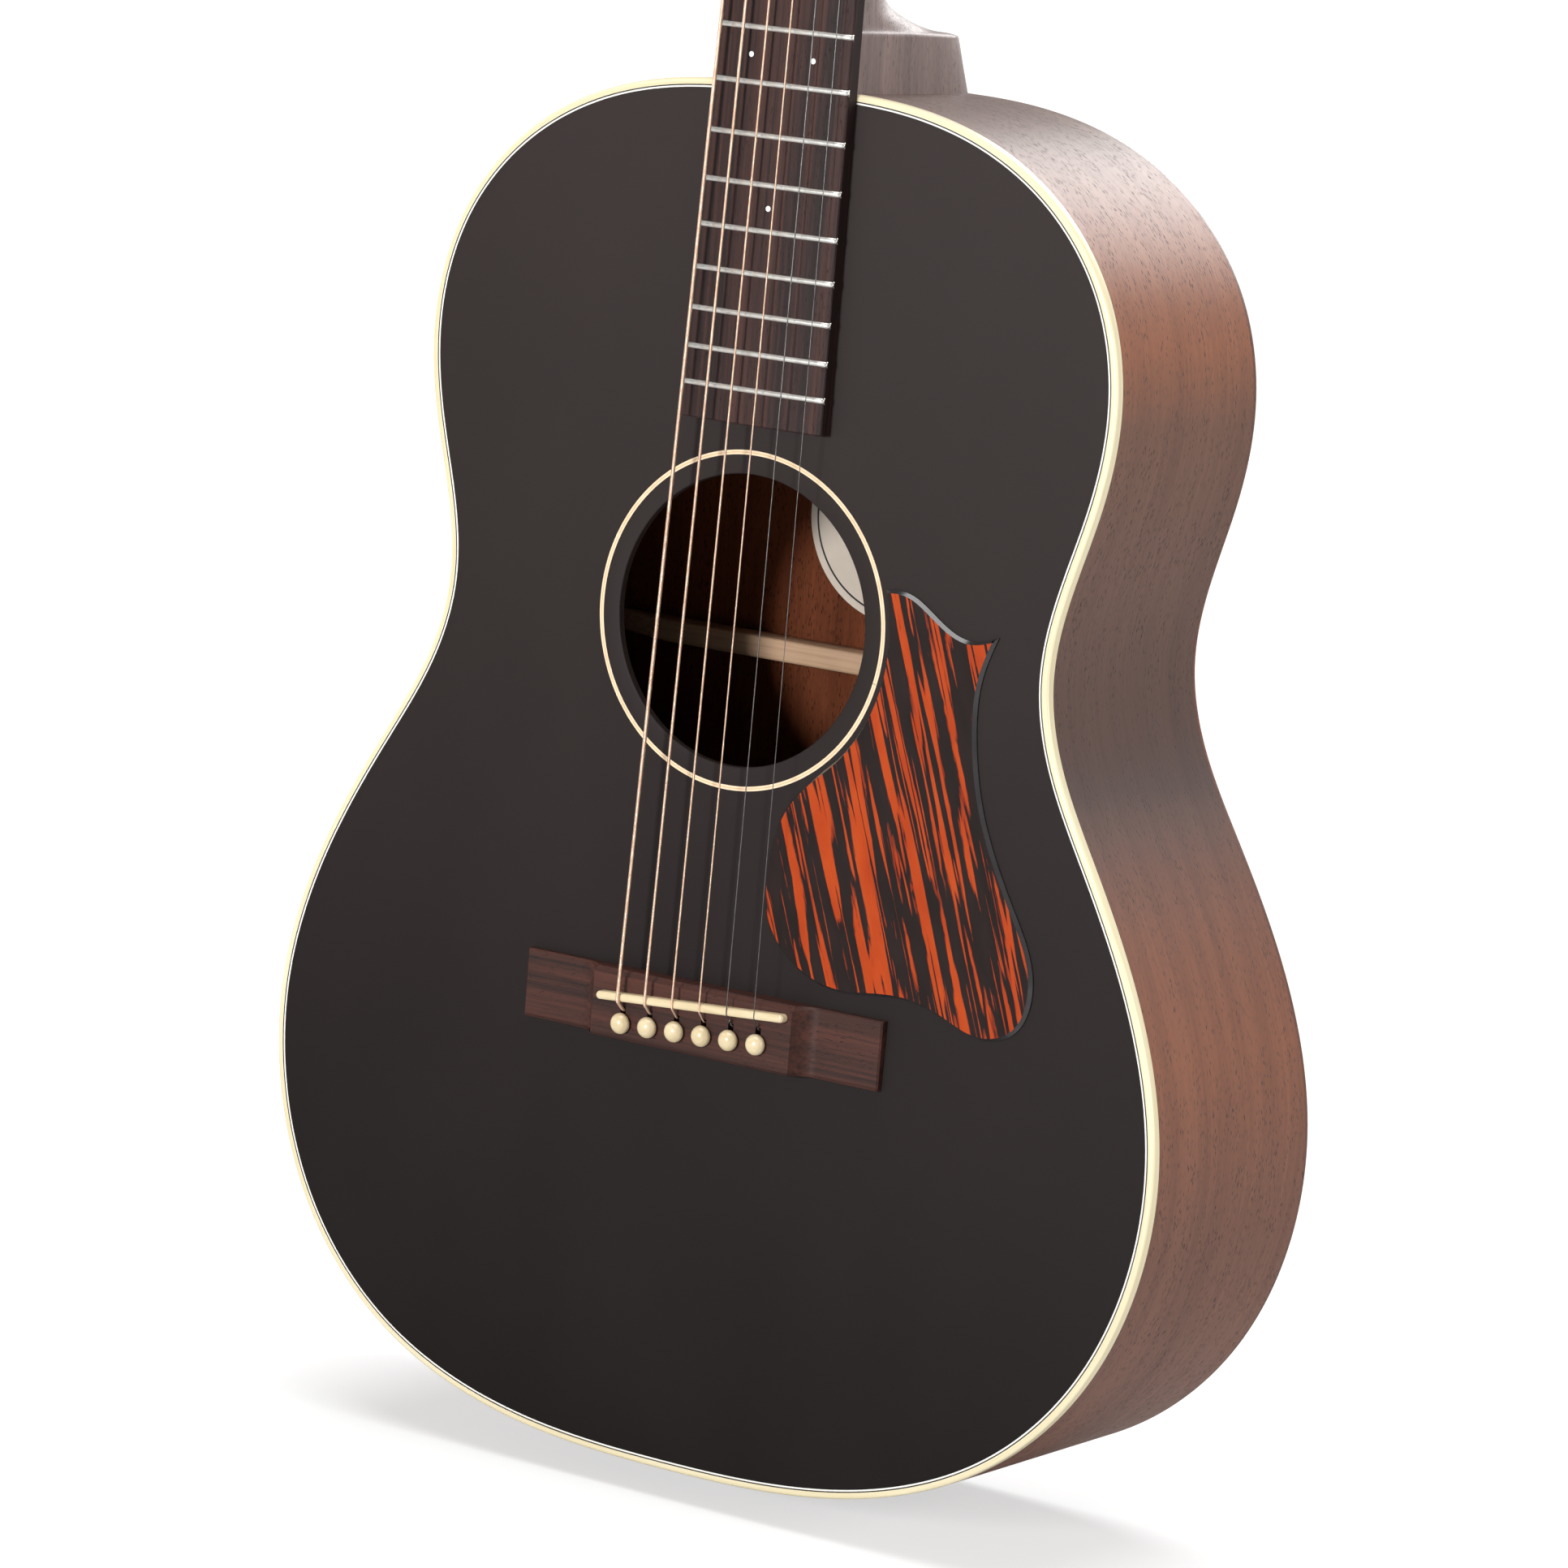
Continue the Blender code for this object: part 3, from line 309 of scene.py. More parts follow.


# Painted shade along the sides: darker at the waist, where the upper bout shades it, bluish there as
# painted grey sheen, and darker towards the neck end and the tail: (share of the way from neck to tail,
# tint)
RIB_PAINTED_SHADE = (
    (0.00, (0.30, 0.37, 0.52, 1.0)), (0.12, (0.42, 0.50, 0.62, 1.0)), (0.20, (0.92, 0.94, 0.96, 1.0)),
    (0.250, (1.0, 1.0, 1.0, 1.0)), (0.29, (0.60, 0.74, 0.92, 1.0)), (0.38, (0.47, 0.61, 0.84, 1.0)),
    (0.48, (0.25, 0.35, 0.58, 1.0)), (0.55, (0.68, 0.73, 0.88, 1.0)), (0.62, (0.86, 0.86, 0.90, 1.0)),
    (0.72, (0.60, 0.60, 0.65, 1.0)), (0.88, (0.68, 0.70, 0.74, 1.0)),
)


def make_looks():
    """Every material, under the name that pieces ask for it by, with its slot in the record."""
    cream = srgb(235, 225, 192), srgb(221, 206, 164)
    bone = srgb(228, 211, 174), srgb(210, 189, 148)
    brown = srgb(152, 95, 66), srgb(114, 67, 46), srgb(40, 25, 21)
    back = srgb(112, 66, 44), srgb(80, 45, 31), srgb(36, 22, 18)
    neck = srgb(136, 114, 108), srgb(98, 81, 77), srgb(40, 32, 30)
    inside = srgb(114, 61, 36), srgb(84, 43, 25), srgb(50, 26, 16)
    red = srgb(67, 42, 37), srgb(32, 21, 20), srgb(18, 12, 12)
    warm = srgb(80, 45, 36), srgb(38, 23, 20), srgb(20, 13, 12)
    maple = srgb(214, 180, 144), srgb(184, 144, 108), srgb(160, 120, 88)
    fine_pores = {"pore_size": (0.0009, 0.0036), "pore_share": 0.29, "depth": 0.00007}
    dark_lines = {"pore_size": (0.0006, 0.0036), "pore_share": 0.22, "depth": 0.00006}
    looks = {
        "rib": (wood("mahogany_bent", *brown, axis=0, source="UV", gloss=0.46, shine=0.45,
                     contrast=0.9, painted_shade=RIB_PAINTED_SHADE, **fine_pores), "mahogany_body"),
        "back": (wood("mahogany_back", *back, source="Mirrored Object", gloss=0.44, contrast=0.9,
                      seam=0.00018, **fine_pores), "mahogany_body"),
        "neck": (wood("mahogany_neck", *neck, gloss=0.46, pore_size=(0.0008, 0.0062),
                      pore_share=0.25), "mahogany_neck"),
        "inside": (wood("mahogany_inside", *inside, gloss=0.62, shine=0.08, **fine_pores),
                   "mahogany_inside"),
        "lining": (wood("mahogany_lining", *inside, axis=1, gloss=0.65), "mahogany_inside"),
        "plate": (wood("maple_plate", *maple, axis=0, gloss=0.6, contrast=0.9), "hardwood_inside"),
        "board": (wood("rosewood_board", *red, gloss=0.50, shine=0.2, streak=(0.0016, 0.16),
                       band=(0.0045, 0.5), contrast=0.42, **dark_lines), "rosewood"),
        "bridge": (wood("rosewood_bridge", *warm, axis=0, gloss=0.46, shine=0.22, streak=(0.0013, 0.10),
                        band=(0.0042, 0.2), contrast=0.62, **dark_lines), "rosewood"),
        "binding": (plastic("ivory_celluloid", *cream, 0.34, (0.08, 0.0011, 0.0011), "UV"),
                    "cream_binding"),
        "button": (plastic("cream_button", *cream, 0.22, (0.007,) * 3, coat=0.5), "cream_button"),
        "bone": (plastic("polished_bone", *bone, 0.24, (0.02, 0.004, 0.004), coat=0.5), "bone"),
        "firestripe": (firestripe("firestripe_celluloid"), "firestripe"),
    }
    # (look, material, colour at the bottom, colour at the top with painted sheen, roughness, shine, slot)
    lacquers = (
        ("top", "black_satin_lacquer", (12, 6, 4), (46, 38, 37), 0.50, 0.15, "black_top"),
        ("veneer", "black_headstock_lacquer", (17, 12, 11), (22, 18, 18), 0.30, 0.4, "black_veneer"),
    )
    for look, name, low, high, gloss, shine, slot in lacquers:
        looks[look] = (black_lacquer(name, srgb(*low), srgb(*high), gloss, shine), slot)
    # (look, material, light, dark, roughness, size of its clouds, coat, slot)
    plastics = (
        ("white_line", "white_fibre", (248, 246, 240), (234, 230, 220), 0.4, 0.02, 0.3, "cream_binding"),
        ("black_line", "black_fibre", (20, 17, 17), (30, 26, 25), 0.4, 0.02, 0.3, "black_plastic"),
        ("ring", "rosette_cream", (244, 218, 184), (232, 202, 166), 0.36, 0.006, 0.3, "cream_binding"),
        ("ring_line", "rosette_line", (206, 164, 100), (180, 136, 80), 0.42, 0.006, 0.3, "cream_binding"),
        ("black_plastic", "black_plastic", (18, 16, 16), (30, 27, 27), 0.25, 0.01, 0.3, "black_plastic"),
        ("guard_edge", "black_bevel", (36, 33, 34), (50, 46, 47), 0.20, 0.01, 0.5, "firestripe"),
        ("pearl", "pearl_dot", (250, 250, 246), (222, 226, 226), 0.2, 0.0012, 0.6, "bone"),
        ("paper", "label_paper", (214, 202, 188), (200, 187, 172), 0.7, 0.02, 0.0, "cream_binding"),
        ("ink", "label_ink", (22, 20, 20), (34, 30, 30), 0.6, 0.01, 0.0, "black_plastic"),
    )
    for look, name, light, dark, gloss, size, coat, slot in plastics:
        looks[look] = (plastic(name, srgb(*light), srgb(*dark), gloss, (size,) * 3, coat=coat), slot)
    brushed = (0.02, 0.0002, 0.0002)
    # (look, material, bright, dull, roughness, sizes of its scratches, slot)
    metals = (
        ("nickel", "nickel", (166, 163, 158), (134, 131, 126), 0.28, brushed, "nickel"),
        ("fret", "fret_wire", (230, 228, 222), (204, 201, 196), 0.30, brushed, "nickel"),
        ("steel", "steel", (196, 194, 190), (160, 156, 150), 0.34, (0.002, 0.0004, 0.002), "steel"),
    )
    for look, name, bright, dull, gloss, sizes, slot in metals:
        looks[look] = (metal(name, srgb(*bright), srgb(*dull), gloss, sizes), slot)
    drawn = (0.004, 0.2, 1.0)
    plain = metal("plain_steel_string", srgb(112, 110, 108), srgb(88, 86, 84), 0.34, drawn, "UV")
    looks["plain"] = (plain, "plain_steel_string")
    for number in (3, 4, 5, 6):
        pitch = 0.00022 + 0.00005 * number
        wound = metal(f"bronze_winding_{number}", srgb(255, 226, 202), srgb(242, 198, 168), 0.36,
                      drawn, "UV", ridges=pitch)
        looks[f"wound_{number}"] = (wound, "bronze_string")
    return looks


LOOKS = make_looks()


# Pieces

def as_thing(mesh, name="work"):
    """A mesh as an object; an object stays as it is."""
    if isinstance(mesh, bpy.types.Object):
        return mesh
    thing = bpy.data.objects.new(name, mesh)
    bpy.context.scene.collection.objects.link(thing)
    return thing


def as_mesh(work, name):
    mesh = bpy.data.meshes.new(name)
    work.to_mesh(mesh)
    work.free()
    return mesh


def finished(work, name):
    """The mesh, its faces pointing outwards."""
    bmesh.ops.recalc_face_normals(work, faces=work.faces)
    if work.calc_volume(signed=True) < 0:
        bmesh.ops.reverse_faces(work, faces=work.faces)
    return as_mesh(work, name)


def piece(name, mesh, look, body="root", stands_for=(), smooth=35):
    """Adds a piece with its material, on a CAD body, in place of some CAD nodes.

    Look names one material, or several joined by +. Edges sharper than smooth, in degrees, stay hard.
    """
    thing = as_thing(mesh, name)
    thing.name = name
    thing.data.shade_smooth()
    thing.data.set_sharp_from_angle(angle=math.radians(smooth))
    thing.data.materials.clear()
    for each in look.split("+"):
        thing.data.materials.append(LOOKS[each][0])
    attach(thing, body)
    if stands_for:
        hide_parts(*stands_for)
    return thing


def remake(node, mesh, look, body="root", smooth=35):
    """Adds a detailed piece in place of one CAD node."""
    return piece(f"{node}_detailed", mesh, look, body, [node], smooth)


def carve(thing, *meshes, how="DIFFERENCE"):
    """Cuts or joins meshes for good, and applies the modifiers that the thing has."""
    thing = as_thing(thing)
    tools = [as_thing(mesh) for mesh in meshes]
    for tool in tools:
        boolean = thing.modifiers.new("cut", "BOOLEAN")
        boolean.operation = how
        boolean.object = tool
    graph = bpy.context.evaluated_depsgraph_get()
    mesh = bpy.data.meshes.new_from_object(thing.evaluated_get(graph))
    thing.modifiers.clear()
    thing.data = mesh
    for tool in tools:
        bpy.data.objects.remove(tool)
    return thing


# Outlines

def cubic(knots, count, closed=True):
    """Evenly spaced points on the cubic spline through these knots."""
    knots = np.array(knots, float)
    total = len(knots)
    span = np.linalg.norm(np.roll(knots, -1, axis=0) - knots, axis=1)
    if not closed:
        span = span[:-1]
    system = np.identity(total)
    wanted = np.zeros(knots.shape)
    for i in range(total) if closed else range(1, total - 1):
        after = (i + 1) % total
        system[i, i - 1] = span[i - 1]
        system[i, i] = 2 * (span[i - 1] + span[i])
        system[i, after] = span[i]
        wanted[i] = 6 * ((knots[after] - knots[i]) / span[i] - (knots[i] - knots[i - 1]) / span[i - 1])
    bend = np.linalg.solve(system, wanted)
    reached = running(span)
    distance = np.linspace(0.0, reached[-1], count, endpoint=not closed)
    i = np.clip(np.searchsorted(reached, distance, side="right") - 1, 0, len(span) - 1)
    after = (i + 1) % total
    far = ((distance - reached[i]) / span[i])[:, None]
    near = 1 - far
    curve = (near**3 - near) * bend[i] + (far**3 - far) * bend[after]
    return near * knots[i] + far * knots[after] + curve * span[i][:, None] ** 2 / 6


def running(lengths):
    """How far along each of these lengths starts, and where the last one ends."""
    return np.concatenate([[0.0], np.cumsum(lengths)])


def length_of(points):
    return float(np.linalg.norm(np.diff(points, axis=0), axis=1).sum())


def refined(loop, step, corner=45):
    """A closed polygon drawn as smooth curves between its sharp corners."""
    loop = np.array(loop)
    before = loop - np.roll(loop, 1, axis=0)
    after = np.roll(loop, -1, axis=0) - loop
    heading = np.arctan2(after[:, 1], after[:, 0]) - np.arctan2(before[:, 1], before[:, 0])
    turn = np.abs((heading + math.pi) % math.tau - math.pi)
    corners = np.flatnonzero(turn > math.radians(corner))
    if not len(corners):
        around = length_of(np.vstack([loop, loop[:1]]))
        return cubic(loop, 2 * round(around / step / 2))
    runs = []
    for start, end in zip(corners, [*corners[1:], corners[0] + len(loop)]):
        run = np.take(loop, range(start, end + 1), axis=0, mode="wrap")
        runs.append(cubic(run, max(2, round(length_of(run) / step) + 1), closed=False)[:-1])
    return np.concatenate(runs)


def inset(loop, distance):
    """A closed loop moved inwards, its sides kept parallel."""
    sides = np.roll(loop, -1, axis=0) - loop
    area = np.sum(loop[:, 0] * sides[:, 1] - loop[:, 1] * sides[:, 0])
    along = sides / np.linalg.norm(sides, axis=1)[:, None]
    inward = np.stack([-along[:, 1], along[:, 0]], axis=1) * np.sign(area)
    before = np.roll(inward, 1, axis=0)
    mitre = (before + inward) / (1 + np.sum(before * inward, axis=1))[:, None]
    return loop + distance * mitre


def circle(centre, radius, count=96):
    turns = np.linspace(0, math.tau, count, endpoint=False)
    return np.stack([centre[0] + radius * np.cos(turns), centre[1] + radius * np.sin(turns)], axis=1)


def flat_loops(node, place, level):
    """Outlines of a CAD node's flat face, level above the frame place's floor, longest first."""
    near = 0.00001
    work = bmesh.new()
    work.from_mesh(frame["nodes"][node].data)
    bmesh.ops.remove_doubles(work, verts=work.verts, dist=near)
    work.transform(place.inverted())
    flat = dict.fromkeys(f for f in work.faces if all(abs(v.co.z - level) < near for v in f.verts))
    following = {}
    for face in flat:
        for loop in face.loops:
            if not any(other in flat for other in loop.edge.link_faces if other is not face):
                following[loop.vert] = loop.link_loop_next.vert
    loops = []
    while following:
        start, after = following.popitem()
        loop = [start.co.copy()]
        while after is not start:
            loop.append(after.co.copy())
            after = following.pop(after)
        loops.append([(point.x, point.y) for point in loop])
    work.free()
    return sorted(loops, key=lambda loop: -length_of(np.array(loop)))


# Frames: each turns (across, along, out) into a place in the world.

FRONT = Matrix(((1, 0, 0, 0), (0, 0, -1, 0), (0, 1, 0, 0), (0, 0, 0, 1)))
Z_TO_X = Matrix.Rotation(math.pi / 2, 4, "Y")


def head_matrix():
    """On the headstock: across it, along it from the nut, and out of its face."""
    out = Vector(JOINTS["post_1_turn"]["axis"])
    across = Vector((1.0, 0.0, 0.0))
    turned_to = Matrix((across, out.cross(across), out)).transposed().to_4x4()
    start = Vector((0.0, 0.0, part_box("nut")[1].z + 0.0005))
    return Matrix.Translation(start) @ turned_to


HEAD = head_matrix()


def post_matrix(number):
    """At a tuner post, on the headstock's face: outwards along the button, and out of the face."""
    out = Vector(JOINTS["post_1_turn"]["axis"])
    outwards = Vector(JOINTS[f"button_{number}_turn"]["axis"])
    place = Matrix((outwards, out.cross(outwards), out)).transposed().to_4x4()
    return Matrix.Translation(Vector(JOINTS[f"post_{number}_turn"]["pos_m"])) @ place


def place_at(matrix):
    return lambda across, along, out: matrix @ Vector((across, along, out))


# The body's outline and depth, from the frame

def body_outline():
    """Starts at the neck's centre line and runs down the treble side."""
    loop = refined(flat_loops("binding", FRONT, 0.0)[0], OUTLINE_STEP)
    top = np.argmin(np.abs(loop[:, 0]) - loop[:, 1])
    loop = np.roll(loop, -top, axis=0)
    return loop if loop[1, 0] > 0 else np.roll(loop[::-1], 1, axis=0)


BODY = body_outline()
NECK_Z = float(BODY[:, 1].max())
TAIL_Z = float(BODY[:, 1].min())
TOP_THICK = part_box("soundboard")[1].y
BINDING_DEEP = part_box("binding")[1].y
DEPTH_AT_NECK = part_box("back")[0].y + BACK_THICK
DEPTH_AT_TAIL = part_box("back")[1].y
HOLE_Z = (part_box("rosette")[0].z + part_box("rosette")[1].z) / 2
RING_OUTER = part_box("rosette")[1].x
RING_INNER = RING_OUTER - RING_WIDE
RING_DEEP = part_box("rosette")[1].y
HOLE_RADIUS = RING_INNER - RING_TO_HOLE


def depth(z):
    """The outer face of the back at this height, before its dome."""
    return DEPTH_AT_NECK + (z - NECK_Z) / (TAIL_Z - NECK_Z) * (DEPTH_AT_TAIL - DEPTH_AT_NECK)


def back_inside(z):
    return depth(z) - BACK_THICK


def on_back(across, along, out):
    """A place on the inner face of the back, out towards the soundboard."""
    return Vector((across, back_inside(along) - out, along))


# Shapes

def skin(name, rings, closed=False, lengthwise=False):
    """A mesh over rings of points, its ends capped, or its last ring joined to its first.

    Its UVs are in metres: along the rings, or from ring to ring where lengthwise, then across.
    """
    work = bmesh.new()
    spots = [np.array(ring, float) for ring in rings]
    made = [[work.verts.new(point) for point in ring] for ring in spots]
    layer = work.loops.layers.uv.new("metres")
    count = len(spots[0])
    sides = [np.linalg.norm(np.roll(ring, -1, 0) - ring, axis=1) for ring in spots]
    around = [running(lengths) for lengths in sides]
    steps = [np.linalg.norm(b - a, axis=1).mean() for a, b in zip(spots, spots[1:] + spots[:1])]
    reached = running(steps)
    for i in range(len(made) if closed else len(made) - 1):
        j = (i + 1) % len(made)
        for k in range(count):
            after = (k + 1) % count
            face = work.faces.new((made[i][k], made[i][after], made[j][after], made[j][k]))
            corners = ((i, k, i), (i, k + 1, i), (j, k + 1, i + 1), (j, k, i + 1))
            for loop, (ring, spot, row) in zip(face.loops, corners):
                pair = (around[ring][spot], reached[row])
                loop[layer].uv = pair[::-1] if lengthwise else pair
    if not closed:
        work.faces.new(made[0])
        work.faces.new(made[-1])
    return finished(work, name)


def stacked(name, loop, steps, place):
    """A plate over one outline: (inset, height) for each of its levels, bottom to top."""
    rings = [[place(a, b, height) for a, b in inset(loop, distance)] for distance, height in steps]
    return skin(name, rings)


def rounded(low, high, radius, count=4, both=False):
    """Levels of a plate whose upper edge, or both edges, are rounded."""
    turns = np.linspace(0, math.pi / 2, count + 1)
    edge = [(radius * (1 - math.cos(t)), radius * math.sin(t) - radius) for t in turns]
    upper = [(distance, high + drop) for distance, drop in edge]
    lower = [(distance, low - drop) for distance, drop in edge[::-1]] if both else [(0.0, low)]
    return lower + upper + [(radius + FLAT_EDGE, high)]


def turned(name, profile, matrix, steps=48, reshape=None, uneven=None):
    """A profile of (radius, height), turned about the matrix's Z axis, closed at both ends."""
    turns = np.linspace(0, math.tau, steps, endpoint=False)
    rings = []
    for radius, height in profile:
        spots = []
        for turn in turns:
            reach = max(radius, 0.00002) + (uneven(height, turn) if uneven else 0.0)
            spot = Vector((reach * math.cos(turn), reach * math.sin(turn), height))
            spots.append(matrix @ (reshape(spot) if reshape else spot))
        rings.append(spots)
    return skin(name, rings)


def block(name, low, high, matrix=Matrix.Identity(4)):
    outline = np.array([(low[0], low[1]), (high[0], low[1]), (high[0], high[1]), (low[0], high[1])])
    return stacked(name, outline, [(0.0, low[2]), (0.0, high[2])], place_at(matrix))


def bore(radius, low, high, matrix, steps):
    """A cutter for a round hole along the matrix's Z axis."""
    return turned("bore", [(radius, low), (radius, high)], matrix, steps)


def tube(name, path, radius, sides=12):
    """A round wire along a path, with its length in its UVs."""
    path = [Vector(point) for point in path]
    rings = []
    side = None
    for i, point in enumerate(path):
        along = (path[min(i + 1, len(path) - 1)] - path[max(i - 1, 0)]).normalized()
        if side is None:
            side = along.orthogonal()
        side = (side - along * side.dot(along)).normalized()
        other = along.cross(side)
        turns = np.linspace(0, math.tau, sides, endpoint=False)
        rings.append([point + (side * math.cos(t) + other * math.sin(t)) * radius for t in turns])
    return skin(name, rings, lengthwise=True)


def softened(node, width, segments=2):
    """A CAD node's shape with its edges rounded."""
    work = bmesh.new()
    work.from_mesh(frame["nodes"][node].data)
    bmesh.ops.remove_doubles(work, verts=work.verts, dist=0.00001)
    bmesh.ops.dissolve_limit(work, angle_limit=math.radians(1), verts=work.verts, edges=work.edges)
    thing = as_thing(as_mesh(work, node))
    bevel = thing.modifiers.new("edges", "BEVEL")
    bevel.width = width
    bevel.segments = segments
    bevel.limit_method = "ANGLE"
    bevel.angle_limit = math.radians(30)
    return carve(thing)


def joined(name, things):
    """Several things as the separate bodies of one mesh."""
    work = bmesh.new()
    for thing in things:
        mesh = thing.data if isinstance(thing, bpy.types.Object) else thing
        work.from_mesh(mesh)
        if isinstance(thing, bpy.types.Object):
            bpy.data.objects.remove(thing)
    return as_mesh(work, name)


# Body

def around_hole(radius, y):
    """A ring about the soundhole, each point on the same ray as one of the body's outline."""
    turns = np.arctan2(BODY[:, 1] - HOLE_Z, BODY[:, 0])
    return [(radius * math.cos(t), y, HOLE_Z + radius * math.sin(t)) for t in turns]


def make_soundboard():
    rim = inset(BODY, SOUNDBOARD_INSET)
    edge = 0.0005
    rings = [[(x, y, z) for x, z in rim] for y in (TOP_THICK, 0.0)]
    rings += [around_hole(RING_OUTER + SEAM, 0.0), around_hole(RING_OUTER + SEAM, RING_DEEP)]
    rings += [around_hole(RING_INNER - SEAM, RING_DEEP), around_hole(RING_INNER - SEAM, 0.0)]
    for turn in np.linspace(0.0, math.pi / 2, 5):
        rings.append(around_hole(HOLE_RADIUS + edge * (1 - math.sin(turn)), edge * (1 - math.cos(turn))))
    rings.append(around_hole(HOLE_RADIUS, TOP_THICK))
    bores = [bore(PIN_BORE, -0.01, 0.01, bore_matrix(*pin_place(number)), 24) for number in STRINGS]
    top = carve(skin("top", rings, closed=True), *bores)
    remake("soundboard", top, "top")


def edge_band(name, start, wide, deep, look, round_by=0.0, stands_for=()):
    """A strip let into the body's edge, from start inwards, flush with the soundboard."""
    section = [(start, deep), (start, round_by)]
    if round_by:
        for turn in np.linspace(0, math.pi / 2, 6)[1:]:
            section.append((start + round_by * (1 - math.cos(turn)), round_by * (1 - math.sin(turn))))
    section += [(start + wide, 0.0), (start + wide, deep)]
    rings = [[(x, y, z) for x, z in inset(BODY, distance)] for distance, y in section]
    piece(name, skin(name, rings, closed=True), look, stands_for=stands_for)


# Points of the outline nearer the centre line than this make way for a path's own ends
NEAR_CENTRE = 0.004


def half_path(by, neck_x, tail_x):
    """The outline's treble half, inset, from neck_x to tail_x off the centre line."""
    path = inset(BODY, by)[: len(BODY) // 2 + 1]
    outer = BODY[: len(BODY) // 2 + 1, 0]
    kept = np.flatnonzero(outer > max(neck_x, NEAR_CENTRE))
    start, end = kept[0], kept[-1]
    if path[end + 1, 0] > tail_x:
        end += 1
    middle = path[start : end + 1]
    first = (neck_x, np.interp(neck_x, path[:start + 1, 0], path[:start + 1, 1]))
    last = (tail_x, path[-1, 1])
    return np.vstack([first, middle, last])


def line_inside(thing):
    """Faces that look towards the middle of the body's hollow take the second material."""
    middle = Vector((0.0, DEPTH_AT_NECK / 2, HOLE_Z))
    for face in thing.data.polygons:
        towards = (middle - face.center).normalized()
        face.material_index = 1 if face.normal.dot(towards) > 0.2 else 0


def make_ribs():
    for name, side in (("bass", -1), ("treble", 1)):
        outer = half_path(0.0, 0.0, GLUE)
        inner = half_path(RIB_THICK, 0.0, GLUE)
        rings = []
        for (x, z), (inner_x, inner_z) in zip(outer, inner):
            front, rear = BINDING_DEEP + SEAM, back_inside(z) - SEAM
            rings.append([
                (side * x, front, z), (side * x, rear, z),
                (side * inner_x, rear, inner_z), (side * inner_x, front, inner_z),
            ])
        mesh = skin("rib", rings, lengthwise=True)
        line_inside(remake(f"rib_{name}", mesh, "rib+inside"))


def make_back():
    edge = 0.0016
    centre = np.array((0.0, -0.58))

    def ring(loop, level):
        return [(x, level(x, z), z) for x, z in loop]

    rings = [ring(BODY, lambda x, z: back_inside(z))]
    for turn in np.linspace(0.0, math.pi / 2, 6):
        drop = edge * (1 - math.sin(turn))
        rings.append(ring(inset(BODY, edge * (1 - math.cos(turn))), lambda x, z: depth(z) - drop))
    rim = inset(BODY, edge)
    for share in (0.96, 0.88, 0.76, 0.62, 0.46, 0.30, 0.14, 0.02):
        rise = BACK_DOME * (1 - share**2)
        rings.append(ring(centre + (rim - centre) * share, lambda x, z: depth(z) + rise))
    line_inside(remake("back", skin("back", rings), "back+inside", smooth=50))


def make_lining(name, side, at_back):
    """Kerfed lining: small blocks on a thin strip, tapering away from the plate they hold."""
    first, last = RIB_THICK + CAD_GAP, RIB_THICK + CAD_GAP + LINING_WIDE
    low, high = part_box(name)
    deep, strip, taper = 0.014, 0.0007, 0.003
    end_x = min(abs(low.x), abs(high.x))
    paths = [half_path(by, end_x, end_x) for by in (first, first + strip, last, last - taper)]
    work = bmesh.new()

    def glued(z):
        return back_inside(z) - SEAM if at_back else TOP_THICK + SEAM

    def add(corners):
        made = [work.verts.new(corner) for corner in corners]
        for face in ((0, 1, 3, 2), (4, 5, 7, 6), (0, 1, 5, 4), (2, 3, 7, 6), (0, 2, 6, 4), (1, 3, 7, 5)):
            work.faces.new([made[k] for k in face])

    def corner(path, distance, away):
        reached = running(np.linalg.norm(np.diff(path, axis=0), axis=1))
        share = distance * reached[-1]
        x, z = (float(np.interp(share, reached, path[:, k])) for k in (0, 1))
        y = glued(z) + (-deep if at_back else deep) * away
        return (side * x, y, z)

    total = length_of(paths[0])
    count = int(total / KERF_STEP)
    for k in range(count):
        start = k / count
        end = start + KERF_BLOCK / total
        for outer, inner, inner_far, near, far in (
            (paths[1], paths[2], paths[3], start, end),
            (paths[0], paths[1], paths[1], start, (k + 1) / count),
        ):
            add([
                corner(path, share, away)
                for share in (near, far)
                for path, away in ((outer, 0.0), (outer, 1.0), (inner, 0.0), (inner_far, 1.0))
            ])
    bmesh.ops.remove_doubles(work, verts=work.verts, dist=0.000001)
    piece(f"{name}_kerfed", finished(work, name), "lining", stands_for=[name])


def make_label():
    """A blank paper disc with one ruled circle."""
    paper_high, ink_high = 0.00018, 0.00022
    levels = [(0.0, GLUE), (0.0, paper_high)]
    piece("label", stacked("label", circle(LABEL_CENTRE, LABEL_RADIUS), levels, on_back), "paper")
    outer, inner = (circle(LABEL_CENTRE, LABEL_RADIUS - margin) for margin in (0.0026, 0.0033))
    rings = [
        [on_back(across, along, out) for across, along in loop]
        for loop, out in ((outer, paper_high), (outer, ink_high), (inner, ink_high), (inner, paper_high))
    ]
    piece("label_ring", skin("label_ring", rings, closed=True), "ink")


def make_rosette():
    """Two cream rings with a thin line between them, their ends meeting at a joint."""
    joint = math.radians(-13.5)
    cut = 0.00008
    line = 0.00018
    middle = (RING_INNER + RING_OUTER) / 2
    parts = (
        ("rosette_outer", middle + line / 2, RING_OUTER, "ring", ["rosette"]),
        ("rosette_line", middle - line / 2, middle + line / 2, "ring_line", []),
        ("rosette_inner", RING_INNER, middle - line / 2, "ring", []),
    )
    for name, inner, outer, look, nodes in parts:
        section = ((inner, RING_DEEP), (inner, -RING_PROUD), (outer, -RING_PROUD), (outer, RING_DEEP))
        rings = [
            [(radius * math.cos(turn), y, HOLE_Z + radius * math.sin(turn)) for radius, y in section]
            for turn in np.linspace(joint + cut / outer, joint + math.tau - cut / outer, 240)
        ]
        piece(name, skin(name, rings), look, stands_for=nodes)


